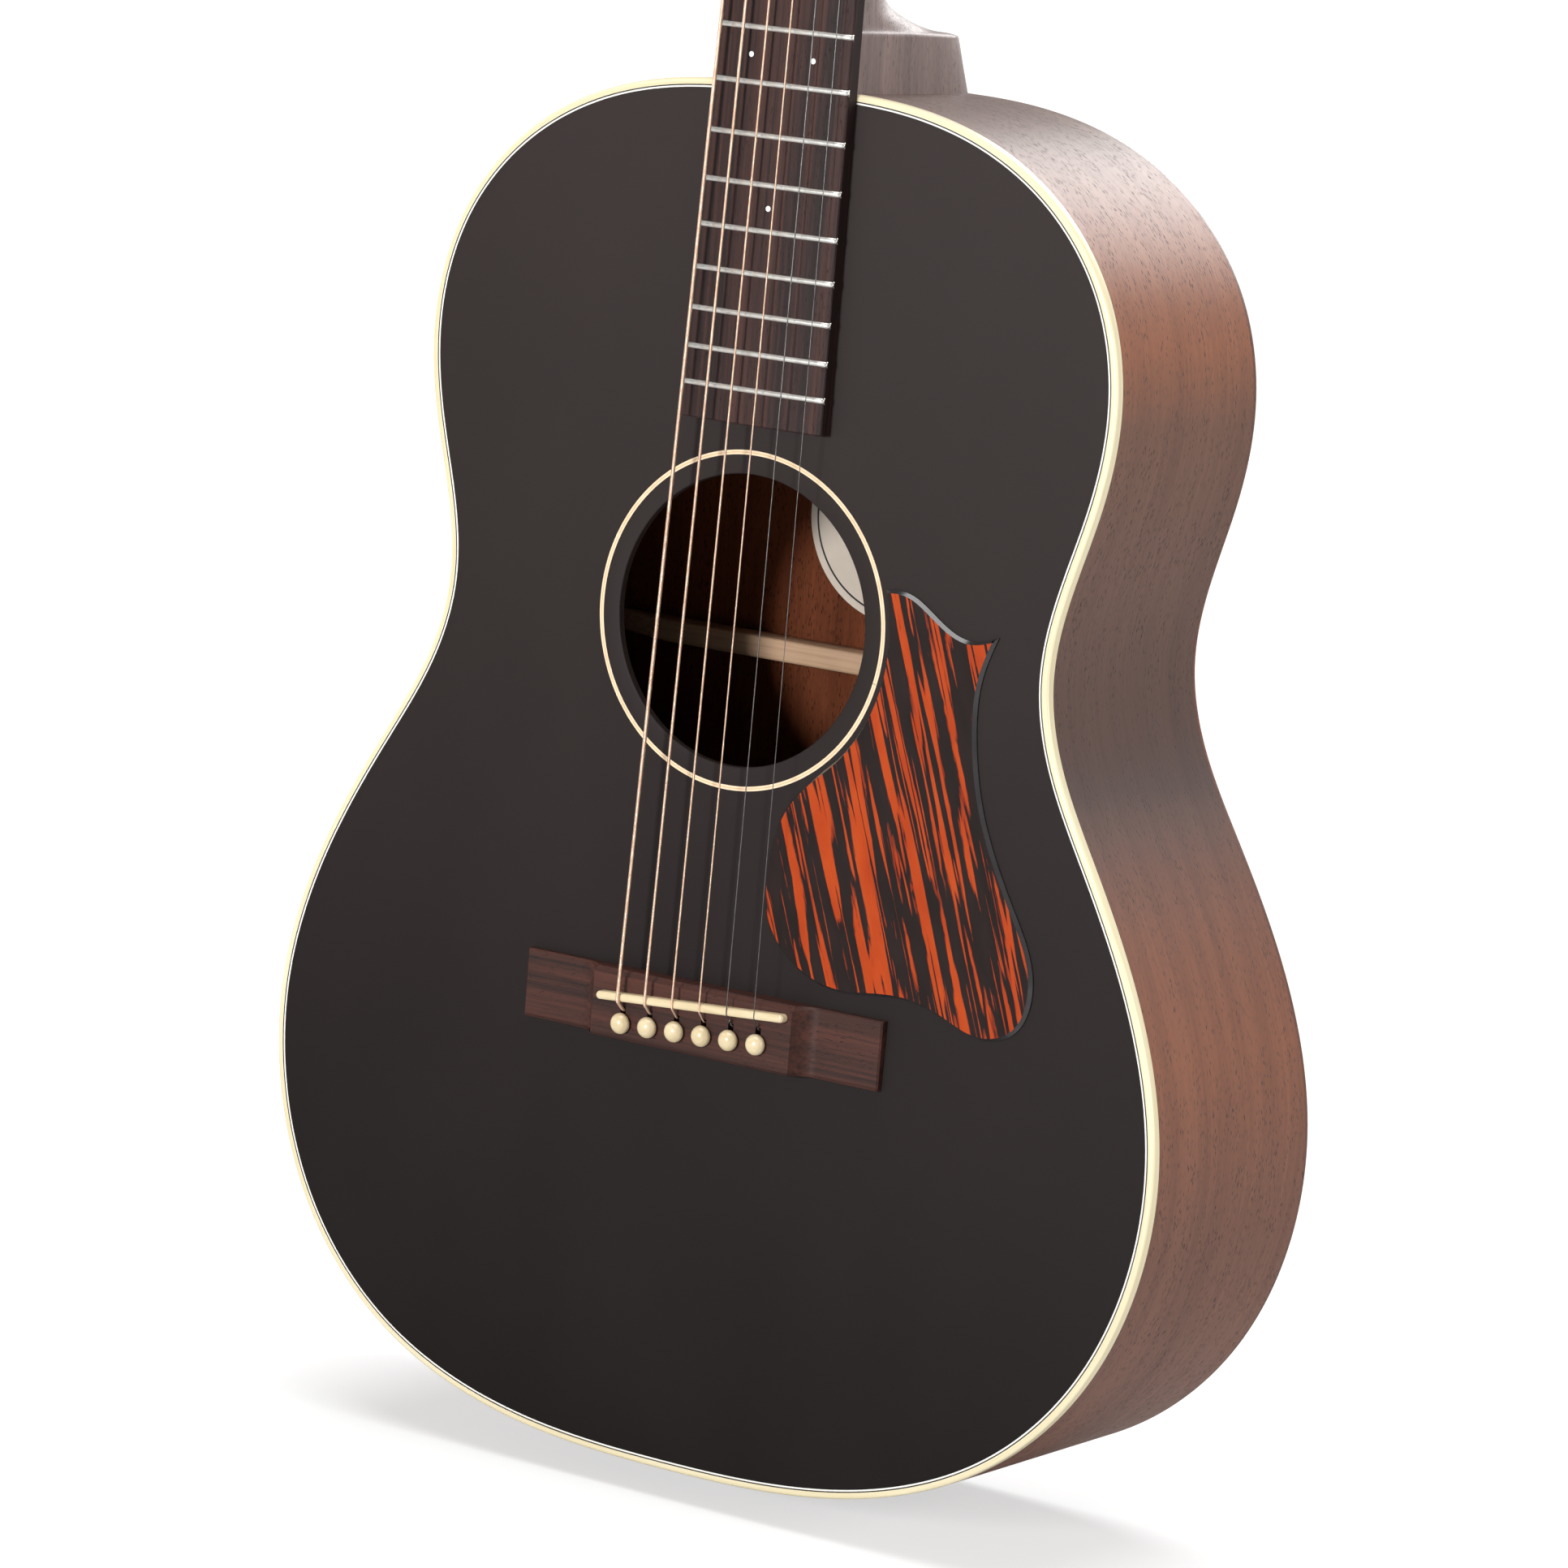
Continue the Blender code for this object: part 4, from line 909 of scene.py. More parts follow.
def make_pickguard():
    """Firestripe face with a bevelled edge that shows its black core."""
    low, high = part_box("pickguard")
    bevel = 0.0011
    loop = refined(flat_loops("pickguard", FRONT, -low.y)[0], 0.0016)
    levels = [(0.0, -high.y - 0.00025), (0.0, -high.y + 0.0003), (bevel, -low.y)]
    plate = stacked("guard", loop, levels, place_at(FRONT))
    guard = remake("pickguard", plate, "firestripe+guard_edge", smooth=20)
    for face in guard.data.polygons:
        face.material_index = 0 if face.normal.y < -0.99 else 1


# Bridge

def pin_place(number):
    low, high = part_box(f"bridge_pin_{number}")
    return (low.x + high.x) / 2, (low.z + high.z) / 2


def bore_matrix(x, z):
    """Its Z axis points out of the soundboard."""
    return Matrix.Translation((x, 0.0, z)) @ Matrix.Rotation(math.pi / 2, 4, "X")


def saddle_loop(spare):
    """The saddle's outline: slanted, its ends round."""
    low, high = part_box("saddle")
    slant = math.atan2(high.z - low.z - SADDLE_THICK, high.x - low.x)
    centre = Vector(((low.x + high.x) / 2, (low.z + high.z) / 2))
    half = (high.x - low.x) / 2 / math.cos(slant) - SADDLE_THICK / 2
    radius = SADDLE_THICK / 2 + spare
    points = []
    for end in (1, -1):
        for turn in np.linspace(-math.pi / 2, math.pi / 2, 12):
            a, b = end * (half + radius * math.cos(turn)), end * radius * math.sin(turn)
            points.append((
                centre.x + a * math.cos(slant) - b * math.sin(slant),
                centre.y + a * math.sin(slant) + b * math.cos(slant),
            ))
    return np.array(points)


BRIDGE_LOW, BRIDGE_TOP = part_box("bridge")
BRIDGE_HIGH = -BRIDGE_LOW.y
WING_HIGH = 0.0031
BLOCK_HALF = 0.0415
SCOOP = 0.0080
SADDLE_SLOT = 0.0030
NOTCH_HALF = 0.0011
NOTCH_LONG = 0.0058
THROUGH = 0.02


def bridge_rise(x):
    """Share of the way from the wings' height to the middle's, through the scoop."""
    reach = min(max((abs(x) - BLOCK_HALF) / SCOOP, 0.0), 1.0)
    return (1 - reach) ** 2.4


def make_bridge():
    """Flat wings, scoops up to the middle, and a long chamfer on the middle's edge to the neck."""
    low_z, high_z = BRIDGE_LOW.z, BRIDGE_TOP.z
    half = BRIDGE_TOP.x
    edge = 0.0006
    scoop = [BLOCK_HALF + SCOOP * share for share in np.linspace(0.0, 1.0, 25)]
    middle = [0.0, 0.02, BLOCK_HALF - 0.004, BLOCK_HALF - 0.0004]
    right = [*middle, *scoop, 0.062, half - edge, half]
    rings = []
    for x in [-x for x in right[:0:-1]] + right:
        share = bridge_rise(x)
        end_drop = edge if abs(x) >= half else 0.0
        high = WING_HIGH + (BRIDGE_HIGH - WING_HIGH) * share - end_drop
        run, drop = edge + 0.0012 * share, edge + 0.0016 * share
        rear = [
            (low_z + edge * (1 - math.sin(turn)), high - edge * (1 - math.cos(turn)))
            for turn in np.linspace(math.pi / 2, 0, 4)
        ]
        section = [(low_z, SEAM), (high_z, SEAM), (high_z, high - drop), (high_z - run, high)]
        rings.append([(x, -rise, z) for z, rise in section + rear + [(low_z, high - edge)]])
    cutters = [stacked("slot", saddle_loop(SEAM), [(0.0, SADDLE_SLOT), (0.0, THROUGH)], place_at(FRONT))]
    for number in STRINGS:
        x, z = pin_place(number)
        cutters.append(bore(PIN_BORE, -THROUGH, THROUGH, bore_matrix(x, z), 24))
        low, high = (x - NOTCH_HALF, z, -THROUGH), (x + NOTCH_HALF, z + NOTCH_LONG, THROUGH)
        cutters.append(block("notch", low, high, FRONT))
    bridge = carve(skin("bridge", rings), *cutters)
    remake("bridge", bridge, "bridge", smooth=25)

    top = -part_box("saddle")[0].y
    saddle = stacked("saddle", saddle_loop(0.0), rounded(0.0035, top, 0.0011), place_at(FRONT))
    remake("saddle", saddle, "bone")
    remake("bridge_plate", softened("bridge_plate", 0.0004), "plate")


def make_pins():
    """Each pin has a glossy dome over a thin collar, and a long tapering shank."""
    head, crown, inlay, step = 0.00375, 0.0036, 0.0027, 0.00010
    dome = []
    for t in np.linspace(0, math.pi / 2, 15):
        radius = head * math.sin(t)
        lift = step if radius < inlay else 0.0
        dome.append((radius, 0.0006 + (crown - 0.0006 - step) * math.cos(t) + lift))
    collar = [(head - 0.00005, 0.0003), (0.0032, 0.00008)]
    shank = [(0.0026, 0.0), (0.0025, -0.004), (0.0021, -0.0205), (0.0016, -0.0215), (0.0, -0.0217)]
    for number in STRINGS:
        x, z = pin_place(number)
        seat = Matrix.Translation((0.0, -BRIDGE_HIGH - 0.00012, 0.0)) @ bore_matrix(x, z)
        mesh = turned("pin", dome + collar + shank, seat)
        name = f"pin_{number}"
        piece(f"{name}_detailed", mesh, "bone", name, [f"bridge_{name}"], smooth=50)


# Neck

def board_half(z):
    low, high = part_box("fingerboard")
    return HALF_AT_NUT + (high.x - HALF_AT_NUT) * z / low.z


HALF_AT_NUT = 0.0230
BOARD_TOP = 0.00635
BOARD_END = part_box("fingerboard")[0].z


def crown(x):
    """How far the board's round face has dropped, this far from its centre line."""
    return x**2 / (2 * BOARD_RADIUS)


def fret_z(number):
    return -SCALE_LENGTH * (1 - 2 ** (-number / 12))


def make_fingerboard():
    edge = 0.0004
    rings = []
    start = -0.0001
    stations = ((start, edge), (start - edge, 0.0), (BOARD_END + edge, 0.0), (BOARD_END, edge))
    for z, shrink in stations:
        half = board_half(z)
        across = np.linspace(-half + edge, half - edge, 15)
        face = [(x, -BOARD_TOP + crown(x) + shrink, z) for x in across]
        sides = [(half, -BOARD_TOP + crown(half) + edge + shrink, z), (half, -SEAM, z)]
        rings.append([(-half, sides[0][1], z), *face, *sides, (-half, -SEAM, z)])
    remake("fingerboard", skin("board", rings), "board")
    make_frets()
    make_dots()


def make_frets():
    """Each wire has a round crown and filed ends, and follows the board's face."""
    wires = []
    overhang = 0.0003
    filing = 0.0012
    for number in range(1, FRET_COUNT + 1):
        z = fret_z(number)
        half = board_half(z) + overhang
        ends = np.array((half, half - filing / 2, half - filing))
        rings = []
        for x in (*-ends, *np.linspace(-half + 0.004, half - 0.004, 11), *ends[::-1]):
            filed = min(1.0, 0.35 + (half - abs(x)) / filing * 0.65)
            base = -BOARD_TOP + crown(x)
            reach = FRET_WIDE / 2 * min(1.0, filed + 0.2)
            arc = [
                (x, base - FRET_HIGH * filed * math.sin(turn) ** 0.8, z + reach * math.cos(turn))
                for turn in np.linspace(0, math.pi, 11)
            ]
            foot = [(x, base + 0.0002, z + side * FRET_WIDE / 2) for side in (-1, 1)]
            rings.append(arc + foot)
        wires.append(skin("fret", rings))
    piece("frets", joined("frets", wires), "fret", smooth=60)


def make_dots():
    """Pearl dots in the face and small ones on the bass edge."""
    proud = 0.00004
    discs, side_discs = [], []
    flank = Matrix(((0, 0, -1, 0), (1, 0, 0, 0), (0, 1, 0, 0), (0, 0, 0, 1)))
    for fret in (3, 5, 7, 9, 12, 15):
        z = (fret_z(fret - 1) + fret_z(fret)) / 2
        for x in (-0.0126, 0.0126) if fret == 12 else (0.0,):
            face = BOARD_TOP - crown(x)
            levels = rounded(face - 0.001, face + proud, 0.00006, 2)
            discs.append(stacked("dot", circle((x, z), DOT_RADIUS, 32), levels, place_at(FRONT)))
        for shift in (-0.003, 0.003) if fret == 12 else (0.0,):
            edge = board_half(z + shift)
            levels = [(0.0, edge - 0.001), (0.0, edge + proud)]
            spot = circle((SIDE_DOT_Y, z + shift), SIDE_DOT_RADIUS, 24)
            side_discs.append(stacked("dot", spot, levels, place_at(flank)))
    piece("position_dots", joined("dots", discs + side_discs), "pearl")


def neck_ring(place, half, deep, nose, square):
    """A D-shaped section: flat on top, half wide, deep below and nose wide at the bottom."""
    ring = []
    for turn in np.linspace(0.0, math.pi, 41):
        sink = max(math.sin(turn), 0.0) ** square
        wide = half + (nose - half) * sink**0.85
        x = math.copysign(abs(math.cos(turn)) ** square, math.cos(turn)) * wide
        ring.append(tuple(place(x, 0.0, -deep * sink)))
    return ring


def head_side():
    """The headstock's treble edge, smooth from the nut to the middle of its crest."""
    knots = np.array((
        (0.0, 0.0232), (0.008, 0.0245), (0.020, 0.0298), (0.032, 0.0322),
        (0.060, 0.0333), (0.110, 0.0355), (0.160, 0.0377), (0.169, 0.0368),
        (0.175, 0.0315), (0.1785, 0.020), (0.1795, 0.006), (0.1795, -0.006),
    ))
    edge = cubic(knots, 600, closed=False)
    edge = edge[edge[:, 1] > 0.002]
    edge[:, 0] = np.maximum.accumulate(edge[:, 0])
    return edge


HEAD_SIDE = head_side()


def head_half(along):
    return float(np.interp(along, HEAD_SIDE[:, 0], HEAD_SIDE[:, 1]))


def between(rings, count):
    """Evenly spaced rings on the smooth surface through these."""
    flat = [np.array(ring).ravel() for ring in rings]
    return [row.reshape(-1, 3) for row in cubic(flat, count, closed=False)]


def make_neck():
    """Heel, tapering neck, and the headstock that leans back from the nut."""
    def at(z):
        return lambda across, along, out: Vector((across, -out, z + along))

    def along_head(distance):
        return lambda across, along, out: HEAD @ Vector((across, distance + along, out))

    def heel(stations):
        return [
            neck_ring(at(z), board_half(z) - UNDER_BOARD, deep, nose, square)
            for z, deep, nose, square in stations
        ]

    # (z, depth below the board, half width of the nose, squareness)
    cap = heel((
        (NECK_Z - 0.0012, 0.0913, 0.0207, 0.25), (-0.3040, 0.0874, 0.0193, 0.26),
        (-0.2952, 0.0846, 0.0186, 0.28),
    ))
    curve = heel((
        (-0.2945, 0.0838, 0.0185, 0.28), (-0.2940, 0.0810, 0.0184, 0.30), (-0.2935, 0.0740, 0.0182, 0.34),
        (-0.2922, 0.0640, 0.0182, 0.42), (-0.2890, 0.0520, 0.0187, 0.58), (-0.2845, 0.0420, 0.0193, 0.75),
        (-0.2770, 0.0335, 0.0208, 0.88), (-0.2670, 0.0262, 0.0222, 0.96), (-0.2540, 0.0205, 0.0240, 1.0),
        (-0.2350, 0.0175, 0.0255, 1.0),
    ))
    shaft = [curve[-1]]
    for z in (-0.16, -0.08, -0.03, -0.01, 0.0):
        half = board_half(z) - UNDER_BOARD
        shaft.append(neck_ring(at(z), half, 0.0130 - 0.0175 * z, half, 1.0 if z < -0.02 else 0.85))
    for along in (0.004, 0.009, 0.014, 0.020, 0.028, 0.040):
        half = head_half(along)
        shaft.append(neck_ring(along_head(along), half, HEAD_THICK, half, max(0.10, 0.65 - along * 18)))
    head = [
        neck_ring(along_head(along), head_half(along), HEAD_THICK, head_half(along), 0.10)
        for along in (0.050, 0.080, 0.120, 0.150, *HEAD_SIDE[HEAD_SIDE[:, 0] > 0.156][::6, 0])
    ]
    rings = cap + between(curve, 40) + between(shaft, 70)[1:] + head
    tenon = block("tenon", (-0.0105, NECK_Z - 0.0178, -0.072), (0.0105, NECK_Z + 0.002, -0.0072), FRONT)
    neck = carve(skin("neck", rings), tenon, how="UNION")
    bores = [bore(POST_BORE, -0.03, 0.02, post_matrix(number), 32) for number in STRINGS]
    channel = block("channel", (-0.0034, -0.303, -0.0092), (0.0034, 0.019, 0.004), FRONT)
    carve(neck, channel, rod_pocket(-0.0075), *bores)
    remake("neck", neck, "neck", smooth=40)


def rod_pocket(low):
    """A cutter for the well that the truss rod's nut sits in."""
    return block("pocket", (-0.0056, 0.004, low), (0.0056, 0.022, 0.010), HEAD)


def make_nut():
    """Bone nut with a slot for each string."""
    low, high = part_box("nut")
    slack = 0.00008
    edge = 0.0006
    top = -low.y + 0.0005
    floor = -low.y + CAD_GAP - SEAM
    half = high.x
    points = [(half, 0.0001), (half, top - edge), (half - edge, top)]
    for number in STRINGS:
        centre = (3.5 - number) * NUT_STEP
        wide = STRING_GAUGES[number - 1] / 2 + slack
        points += [(centre + wide, top), (centre + wide, floor + wide), (centre, floor)]
        points += [(centre - wide, floor + wide), (centre - wide, top)]
    points += [(-half + edge, top), (-half, top - edge), (-half, 0.0001)]
    ends = Matrix(((1, 0, 0, 0), (0, -1, 0, 0), (0, 0, 1, 0), (0, 0, 0, 1)))
    levels = [(0.0, low.z + GLUE), (0.0, high.z)]
    remake("nut", stacked("nut", np.array(points), levels, place_at(ends)), "bone")


def make_head_plate():
    """Black veneer, the truss rod cover with its screws, and the tuners' bushings."""
    plate_top = HEAD_PLATE + CAD_GAP
    right = [(half - 0.0001, along) for along, half in HEAD_SIDE[::5] if along > 0.0008]
    loop = np.array(right + [(-a, b) for a, b in right[::-1]])
    veneer = as_thing(stacked("veneer", loop, rounded(GLUE, plate_top, 0.0005, 3), place_at(HEAD)))
    cutters = [rod_pocket(-0.01)]
    flange = plate_top + 0.0014
    seat = [
        (0.0033, -0.006), (0.0033, flange), (0.0045, flange), (0.0050, plate_top + 0.0009),
        (0.0051, plate_top + GLUE), (0.0041, plate_top), (0.0041, -0.006),
    ]
    for number in STRINGS:
        place = post_matrix(number)
        cutters.append(bore(POST_BORE, -0.01, 0.02, place, 32))
        piece(f"bushing_{number}", ring_of("bushing", seat, place), "nickel")
    remake("head_plate", carve(veneer, *cutters), "veneer")

    level = plate_top + CAD_GAP + 0.0018
    outline = refined(flat_loops("truss_rod_cover", HEAD, level)[0], 0.0008)
    levels = [(0.0, plate_top + GLUE), (0.0, level - 0.0006), (0.0006, level)]
    cover = stacked("cover", outline, levels, place_at(HEAD))
    remake("truss_rod_cover", cover, "black_plastic", smooth=25)
    spots = ((0.0, 0.0305), (-0.0058, 0.0045), (0.0058, 0.0045))
    heads = [screw_head(HEAD @ Matrix.Translation((a, b, level)), 0.0019) for a, b in spots]
    piece("cover_screws", joined("cover_screws", heads), "nickel")


def ring_of(name, profile, matrix, steps=48):
    """A closed profile turned about the matrix's Z axis, open along the axis."""
    turns = np.linspace(0, math.tau, steps, endpoint=False)
    rings = [[matrix @ Vector((r * math.cos(t), r * math.sin(t), h)) for t in turns] for r, h in profile]
    return skin(name, rings, closed=True)


def screw_head(matrix, radius):
    """A domed screw with a crossed slot."""
    dome = [(radius * math.sin(t), 0.45 * radius * math.cos(t)) for t in np.linspace(0, math.pi / 2, 6)]
    screw = turned("screw", dome + [(radius * 0.5, -0.0002), (radius * 0.45, -0.004)], matrix, 24)
    reach, half = 0.62 * radius, 0.11 * radius
    cross = [
        block("cross", (-a, -b, 0.12 * radius), (a, b, radius), matrix)
        for a, b in ((reach, half), (half, reach))
    ]
    return carve(screw, *cross)


# Tuners

GEAR_TEETH = 16
WORM_TO_GEAR = 0.0060


def make_tuner(number):
    """Post with its gear, and button with its worm, each on its own body."""
    place = post_matrix(number)
    worm_spot = place.inverted() @ Vector(JOINTS[f"button_{number}_turn"]["pos_m"])
    gear_z = worm_spot.z
    post = [
        (0.0, 0.0125), (0.0020, 0.0125), (0.0027, 0.0121), (0.0030, 0.0114), (0.0030, 0.0104),
        (0.0026, 0.0096), (0.0025, 0.0080), (0.0028, 0.0060), (0.0031, 0.0050),
        (0.0031, gear_z + 0.0018), (0.0044, gear_z + 0.0018), (0.0044, gear_z - 0.0018),
        (0.0024, gear_z - 0.0020), (0.0022, gear_z - 0.0027), (0.0, gear_z - 0.0028),
    ]
    across = place @ Matrix.Translation((0, 0, 0.0088)) @ Z_TO_X
    shaft = carve(turned("post", post, place, 40), bore(0.0008, -0.005, 0.005, across, 20))
    mesh = joined("post", [shaft, gear_mesh(place, gear_z)])
    remake(f"tuner_post_{number}", mesh, "nickel", f"post_{number}", smooth=30)

    outwards = place @ Matrix.Translation(worm_spot) @ Z_TO_X
    pitch = math.tau * WORM_TO_GEAR / GEAR_TEETH
    length = 0.0040

    def thread(height, turn):
        if abs(height) > length:
            return 0.0
        phase = (height / pitch - turn / math.tau) % 1.0
        return 0.00105 * max(0.0, 1 - abs(2 * phase - 1) * 1.7)

    core, shank = 0.0018, 0.00145
    stations = [(0.0, -0.0066), (0.0012, -0.0066), (shank, -0.0063), (shank, -0.0044), (core, -0.0042)]
    stations += [(core, height) for height in np.linspace(-length, length, 81)]
    stations += [(core, 0.0042), (shank, 0.0044), (shank, 0.0158)]
    worm = turned("worm", stations, outwards, 32, uneven=thread)
    piece(f"worm_{number}", worm, "nickel", f"button_{number}", smooth=50)

    knots = [
        (0.0029, 0.0158), (0.0031, 0.0166), (0.0040, 0.0172), (0.0066, 0.0188), (0.0088, 0.0215),
        (0.0096, 0.0252), (0.0092, 0.0285), (0.0076, 0.0310), (0.0045, 0.0322), (0.0002, 0.0325),
    ]
    knob = turned("knob", cubic(knots, 40, closed=False), outwards, 48, reshape=pressed)
    remake(f"tuner_button_{number}", knob, "button", f"button_{number}", smooth=60)


def pressed(spot):
    """Squeezes the button into an oval that is round again where it meets the shaft."""
    round_up_to, oval_after, squeeze = 0.0160, 0.0030, 0.60
    share = min(max((spot.z - round_up_to) / oval_after, 0.0), 1.0)
    thin = 1 - squeeze * share * share * (3 - 2 * share)
    return Vector((spot.x, spot.y * thin, spot.z))


def gear_mesh(place, gear_z):
    """Straight teeth with rounded tips."""
    half = 0.0015
    flank = ((-0.30, 0.0053), (-0.20, 0.0058), (-0.10, 0.0062))
    points = []
    for tooth in range(GEAR_TEETH):
        for share, radius in (*flank, *((-share, radius) for share, radius in flank[::-1])):
            turn = math.tau * (tooth + share) / GEAR_TEETH
            points.append((radius * math.cos(turn), radius * math.sin(turn)))
    levels = rounded(gear_z - half, gear_z + half, 0.0002, 2, both=True)
    return stacked("gear", np.array(points), levels, place_at(place))


def make_tuner_plates():
    """Each plate carries three tuners and is held by four screws."""
    turn = Matrix.Rotation(math.pi, 4, "X")
    back = -HEAD_THICK - CAD_GAP - 0.0010
    for side, first, out in (("bass", 6, -1), ("treble", 1, 1)):
        node = f"tuner_plate_{side}"
        remake(node, softened(node, 0.00025), "nickel")
        heads = [
            screw_head(post_matrix(first) @ Matrix.Translation((0.0, out * along, back)) @ turn, 0.0017)
            for along in (-0.0165, 0.0225, 0.0585, 0.0800)
        ]
        piece(f"{node}_screws", joined("screws", heads), "nickel")


# Strings

POST_RADIUS = 0.0031
COIL_TOP = HEAD_PLATE + 0.0060
COIL_STEPS = 40
STEPS_PER_TURN = 24


def eased(points, reach):
    """A path with its bends rounded, starting this far before each one."""
    points = [Vector(point) for point in points]
    path = [points[0]]
    for before, here, after in zip(points, points[1:], points[2:]):
        near = min(reach, (here - before).length * 0.45)
        far = min(reach, (after - here).length * 0.45)
        start = here + (before - here).normalized() * near
        end = here + (after - here).normalized() * far
        for share in np.linspace(0, 1, 6):
            path.append(start.lerp(here, share).lerp(here.lerp(end, share), share))
    return path + [points[-1]]


def string_path(number):
    """From the ball end, over the saddle and the nut, to its turns round the post."""
    radius = STRING_GAUGES[number - 1] / 2
    pin_x, pin_z = pin_place(number)
    hole_z = pin_z + HOLE_AHEAD
    low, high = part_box("saddle")
    slant = (high.z - low.z - SADDLE_THICK) / (high.x - low.x)
    saddle_z = (low.z + high.z) / 2 + slant * (pin_x - (low.x + high.x) / 2)
    saddle_y = low.y - radius
    nut_x = (3.5 - number) * NUT_STEP
    nut_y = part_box("nut")[0].y - CAD_GAP - radius
    path = [
        (pin_x, BALL_DEEP - CAD_GAP, hole_z), (pin_x, -BRIDGE_HIGH + 0.0005, hole_z),
        (pin_x, saddle_y + 0.0003, saddle_z - 0.0013), (pin_x, saddle_y, saddle_z),
        (nut_x, nut_y, 0.0004), (nut_x, nut_y, 0.0048),
    ]
    place = post_matrix(number)
    centre = HEAD.inverted() @ place.translation
    side = 1 if number <= 3 else -1
    coil = POST_RADIUS + radius + 0.0001
    for step in range(COIL_STEPS):
        turn = (math.pi if side > 0 else 0.0) - side * (step - 2) * math.tau / STEPS_PER_TURN
        rise = COIL_TOP - step * max(2.2 * radius, 0.0008) / STEPS_PER_TURN
        x, y = centre.x + coil * math.cos(turn), centre.y + coil * math.sin(turn)
        path.append(tuple(HEAD @ Vector((x, y, rise))))
    return eased(path[:7], 0.0010)[:-1] + [Vector(point) for point in path[6:]]


def make_strings():
    for number in STRINGS:
        radius = STRING_GAUGES[number - 1] / 2
        path = string_path(number)
        wound = number > 2
        parts = [tube("string", path, radius)] + ([] if wound else [twist(path, radius)])
        look = f"wound_{number}" if wound else "plain"
        remake(f"string_{number}", joined("string", parts), look, smooth=60)
        make_ball_end(number)


def twist(path, radius):
    """The wire's own end, wound back round itself for the first few millimetres."""
    turns, steps, reach = 9, 12, 0.0195
    coil = []
    for k in range(turns * steps):
        spot, along = point_at(path, reach * k / (turns * steps))
        side = along.orthogonal().normalized()
        other = along.cross(side)
        turn = math.tau * k / steps
        coil.append(spot + (side * math.cos(turn) + other * math.sin(turn)) * radius * 2.0)
    return tube("twist", coil, radius, 8)


def point_at(path, distance):
    """The point this far along a path, and the path's direction there."""
    for before, after in zip(path, path[1:]):
        step = (after - before).length
        if distance <= step:
            return before.lerp(after, distance / step), (after - before).normalized()
        distance -= step
    return path[-1], (path[-1] - path[-2]).normalized()


def make_ball_end(number):
    """The grooved brass barrel that holds the string under the bridge plate."""
    x, z = pin_place(number)
    profile = [
        (0.0006, -0.0019), (0.0019, -0.0019), (0.0020, -0.0012), (0.0014, -0.0006),
        (0.0014, 0.0006), (0.0020, 0.0012), (0.0019, 0.0019), (0.0006, 0.0019),
    ]
    seat = Matrix.Translation((x, BALL_DEEP, z + HOLE_AHEAD)) @ Z_TO_X
    piece(f"ball_end_{number}", ring_of("ball", profile, seat, 24), "wound_6", smooth=40)


# Inside the body

def make_braces():
    """The braces keep their CAD shapes, with rounded edges and grain along each one."""
    # How far each brace's grain turns from +Z, about Y
    angle = math.radians(49)
    pale = srgb(212, 178, 146), srgb(176, 138, 108), srgb(156, 118, 90)
    turns = {"x_brace_1": angle, "x_brace_2": -angle, "tone_bar_upper": -1.18, "tone_bar_lower": -1.17}
    names = [*turns, "transverse_brace", *(f"back_brace_{k}" for k in range(1, 5))]
    for name in names:
        turn = turns.get(name, math.pi / 2)
        look = f"spruce_{name}"
        timber = wood(look, *pale, gloss=0.62, turn=turn, streak=(0.0007, 0.15), band=(0.0016, 0.3),
                      contrast=0.8, pore_share=0.06)
        LOOKS[look] = (timber, "spruce_brace")
        remake(name, softened(name, 0.0012, 3), look)
    LOOKS["strip"] = (LOOKS["spruce_transverse_brace"][0], "spruce_brace")
    remake("back_strip", softened("back_strip", 0.0005), "strip")
    for name in ("neck_block", "tail_block"):
        remake(name, softened(name, 0.0006), "inside")


def make_hardware():
    """The end pin, and the truss rod with its nut."""
    middle = (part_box("end_pin")[0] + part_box("end_pin")[1]) / 2
    seat = Matrix.Translation((middle.x, middle.y, TAIL_Z)) @ Matrix.Rotation(math.pi, 4, "X")
    head = cubic([
        (0.0002, 0.0105), (0.0030, 0.0103), (0.0052, 0.0094), (0.0063, 0.0076), (0.0056, 0.0056),
        (0.0046, 0.0040), (0.0050, 0.0024), (0.0062, 0.0012), (0.0070, 0.0004),
    ], 30, closed=False)
    shank = [(0.0070, SEAM), (0.0050, GLUE), (0.0042, -0.0240), (0.0, -0.0246)]
    pin = turned("end_pin", [*map(tuple, head), *shank], seat)
    remake("end_pin", pin, "black_plastic", "end_pin", smooth=50)
    for node, edge, body in (("truss_rod_nut", 0.0003, "rod_nut"), ("truss_rod", 0.0004, "root")):
        remake(node, softened(node, edge), "steel", body)


# Stage

WORLD_STRENGTH = 0.11
MIRRORED_WHITE = 0.50
SUN_STRENGTH = 2.6
SUN_SPREAD = math.radians(50)
FLOOR_SIZE = 120.0
FLOOR_GLOW = 0.54
FLOOR_GREYS = ((0.56,) * 3 + (1.0,), (0.60,) * 3 + (1.0,))
# (name, where it is, what it points at, how wide it is, power, whether it lights the floor)
LAMPS = (
    ("key", (-0.20, -2.55, -0.20), (0.0, 0.0, -0.50), 0.5, 58.0, True),
    ("right", (2.40, 0.40, 0.00), (0.0, 0.0, -0.50), 1.4, 30.0, True),
    ("left", (-2.30, 0.50, -0.10), (0.0, 0.0, -0.50), 1.2, 20.0, False),
    ("rim", (-0.10, 2.40, 0.75), (0.1, 0.0, -0.35), 1.4, 46.0, False),
)
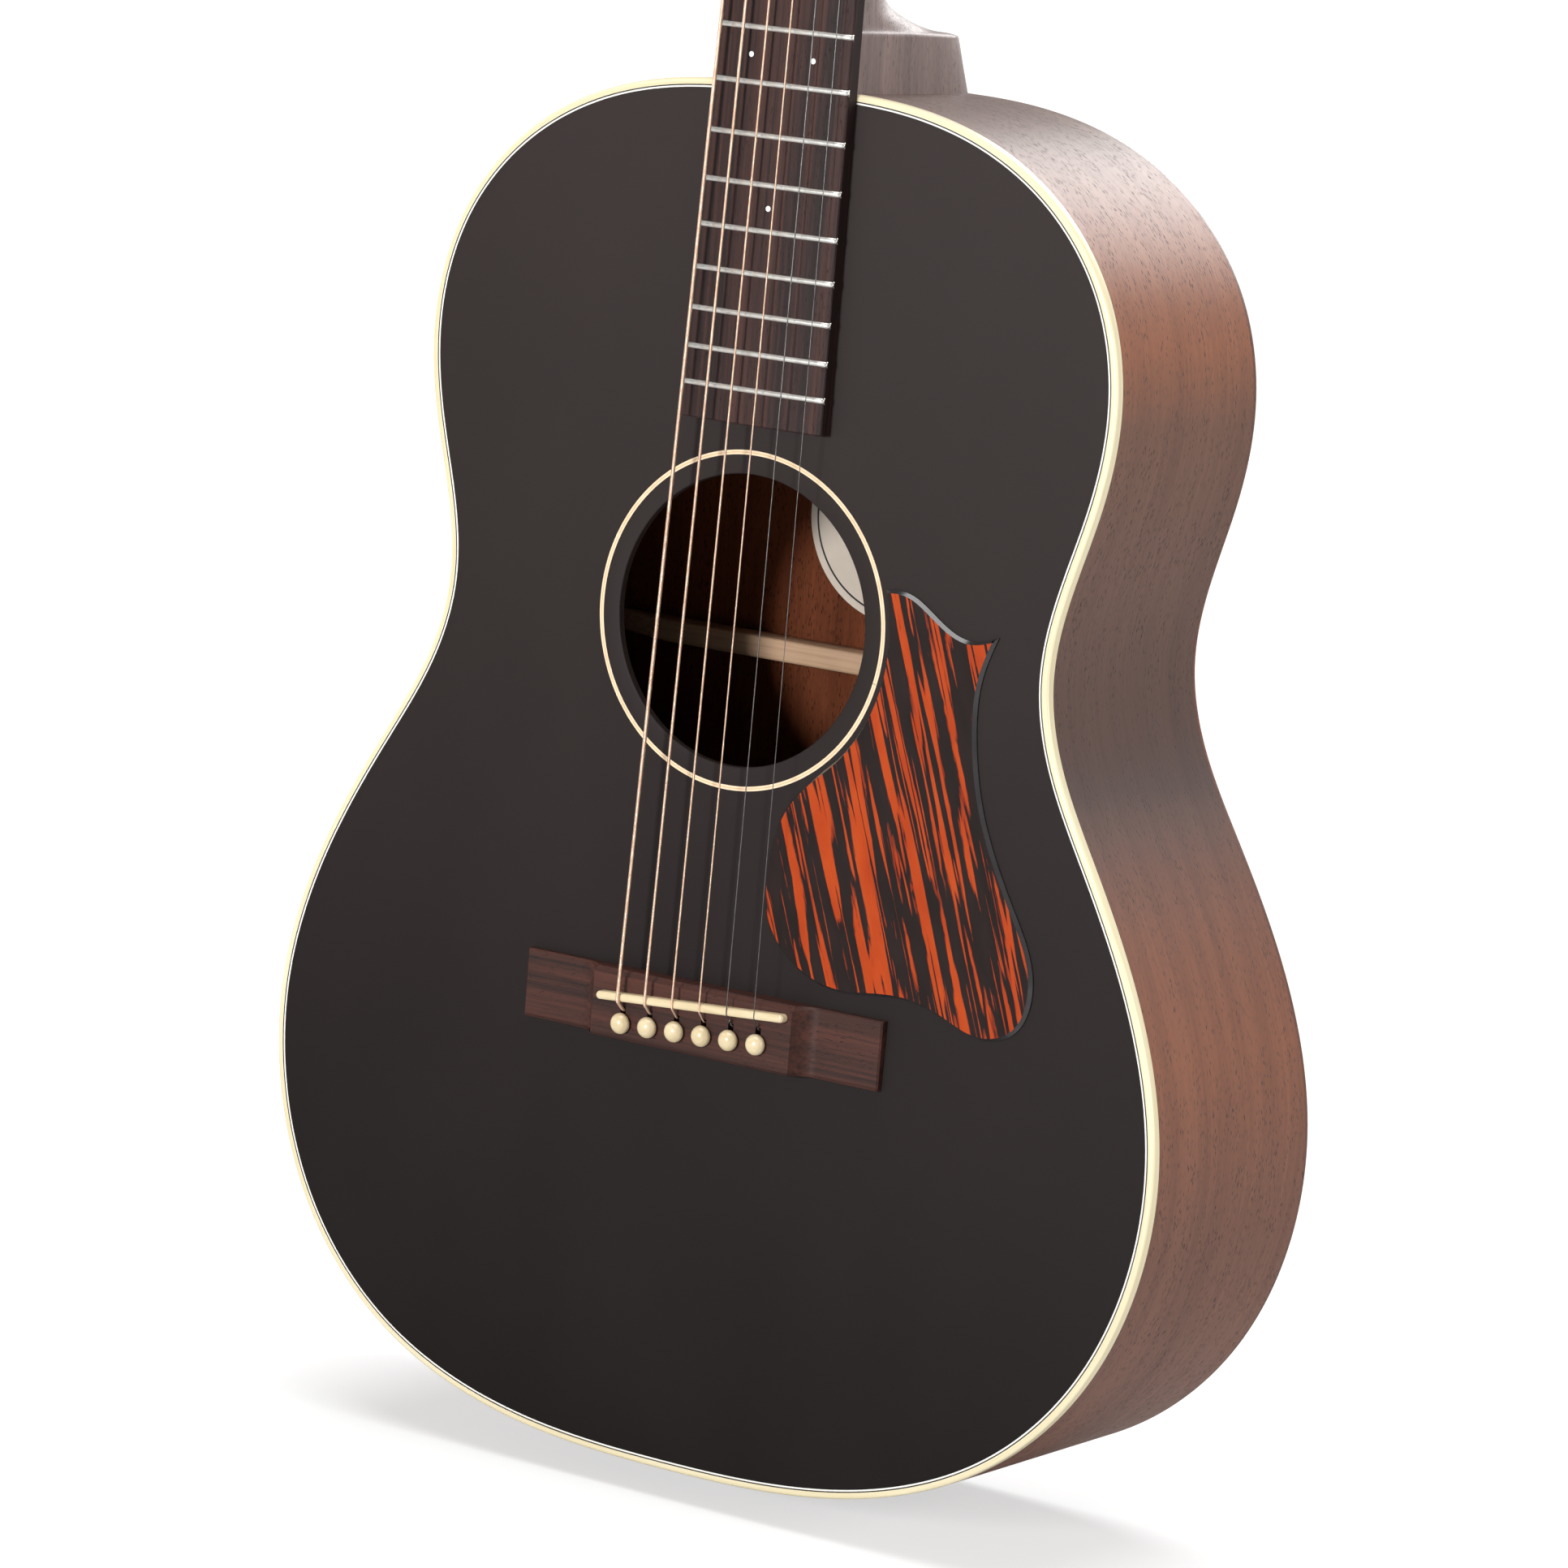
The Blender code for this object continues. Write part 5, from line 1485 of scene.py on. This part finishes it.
# The photo's camera: where it is, its right-hand side, where it looks, and its focal length
CAMERA_PLACE = (1.23928, -1.90511, -0.20952)
CAMERA_RIGHT = (0.83195, 0.54724, 0.09160)
CAMERA_AHEAD = (-0.53176, 0.83352, -0.14994)
CAMERA_LENS = 152.5


def studio_world():
    """White all round: full where the camera looks, dimmer in reflections and as diffuse light."""
    world = bpy.data.worlds.new("studio")
    world.use_nodes = True
    tree = world.node_tree
    seen = tree.nodes.new("ShaderNodeLightPath")
    shade = None
    lights = (("", MIRRORED_WHITE), ("Is Diffuse Ray", WORLD_STRENGTH), ("Is Camera Ray", 1.0))
    for ray, strength in lights:
        white = tree.nodes.new("ShaderNodeBackground")
        white.inputs["Color"].default_value = (1.0, 1.0, 1.0, 1.0)
        white.inputs["Strength"].default_value = strength
        if ray:
            chosen = tree.nodes.new("ShaderNodeMixShader")
            tree.links.new(seen.outputs[ray], chosen.inputs[0])
            tree.links.new(shade, chosen.inputs[1])
            tree.links.new(white.outputs[0], chosen.inputs[2])
            shade = chosen.outputs[0]
        else:
            shade = white.outputs[0]
    tree.links.new(shade, tree.nodes["World Output"].inputs["Surface"])
    return world


def spare(thing, lamp):
    """Keeps a lamp's light and shadows off one object."""
    spared = bpy.data.collections.new(f"spared_by_{lamp.name}")
    spared.objects.link(thing)
    lamp.light_linking.receiver_collection = spared
    spared.collection_objects[0].light_linking.link_state = "EXCLUDE"


def make_stage():
    """A pale floor under the tail, soft lamps and an even white surround.

    The floor glows for the camera alone, so that it's white without lighting the guitar.
    """
    floor_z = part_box("end_pin")[0].z - CAD_GAP
    bpy.ops.mesh.primitive_plane_add(size=FLOOR_SIZE, location=(0.0, 0.0, floor_z))
    floor = bpy.context.object
    floor.name = "floor"
    look = Look("pale_floor", Roughness=0.9, Specular_IOR_Level=0.1)
    look.shader.inputs["Emission Color"].default_value = (1.0, 1.0, 1.0, 1.0)
    look.drive("Emission Strength", look.maths("MULTIPLY", look.node("LightPath", {}), FLOOR_GLOW))
    haze = look.noise(look.place((1.5, 1.5, 1.5)), 2.0)
    look.drive("Base Color", look.ramp(haze, (0.3, FLOOR_GREYS[0]), (0.7, FLOOR_GREYS[1])))
    floor.data.materials.append(look.material)

    overhead = bpy.data.lights.new("overhead", "SUN")
    overhead.energy = SUN_STRENGTH
    overhead.angle = SUN_SPREAD
    bpy.context.scene.collection.objects.link(bpy.data.objects.new("overhead", overhead))

    bpy.context.scene.world = studio_world()
    for name, place, aim, wide, power, on_floor in LAMPS:
        data = bpy.data.lights.new(name, "AREA")
        data.shape = "DISK"
        data.size = wide
        data.energy = power
        lamp = bpy.data.objects.new(name, data)
        bpy.context.scene.collection.objects.link(lamp)
        lamp.location = place
        lamp.rotation_euler = (Vector(aim) - Vector(place)).to_track_quat("-Z", "Y").to_euler()
        if not on_floor:
            spare(floor, lamp)


def make_camera():
    data = bpy.data.cameras.new("camera")
    data.sensor_width = 36.0
    data.lens = CAMERA_LENS
    data.clip_end = 100.0
    camera = bpy.data.objects.new("camera", data)
    bpy.context.scene.collection.objects.link(camera)
    right = Vector(CAMERA_RIGHT).normalized()
    ahead = Vector(CAMERA_AHEAD).normalized()
    up = right.cross(ahead).normalized()
    turn = Matrix((right, up, -ahead)).transposed().to_4x4()
    camera.matrix_world = Matrix.Translation(CAMERA_PLACE) @ turn
    bpy.context.scene.camera = camera
    bpy.context.scene.view_settings.view_transform = "Standard"


make_soundboard()
edge_band("binding_detailed", 0.0, BINDING_WIDE, BINDING_DEEP, "binding", 0.0010, ["binding"])
for line, start, wide in PURFLING:
    edge_band(line, start, wide, 0.0012, line.replace("purfling_", "") + "_line")
make_ribs()
make_back()
for where in ("top", "back"):
    for side_name, side in (("bass", -1), ("treble", 1)):
        make_lining(f"lining_{where}_{side_name}", side, where == "back")
make_label()
make_rosette()
make_pickguard()
make_bridge()
make_pins()
make_fingerboard()
make_neck()
make_nut()
make_head_plate()
for number in STRINGS:
    make_tuner(number)
make_tuner_plates()
make_strings()
make_braces()
make_hardware()
make_stage()
make_camera()
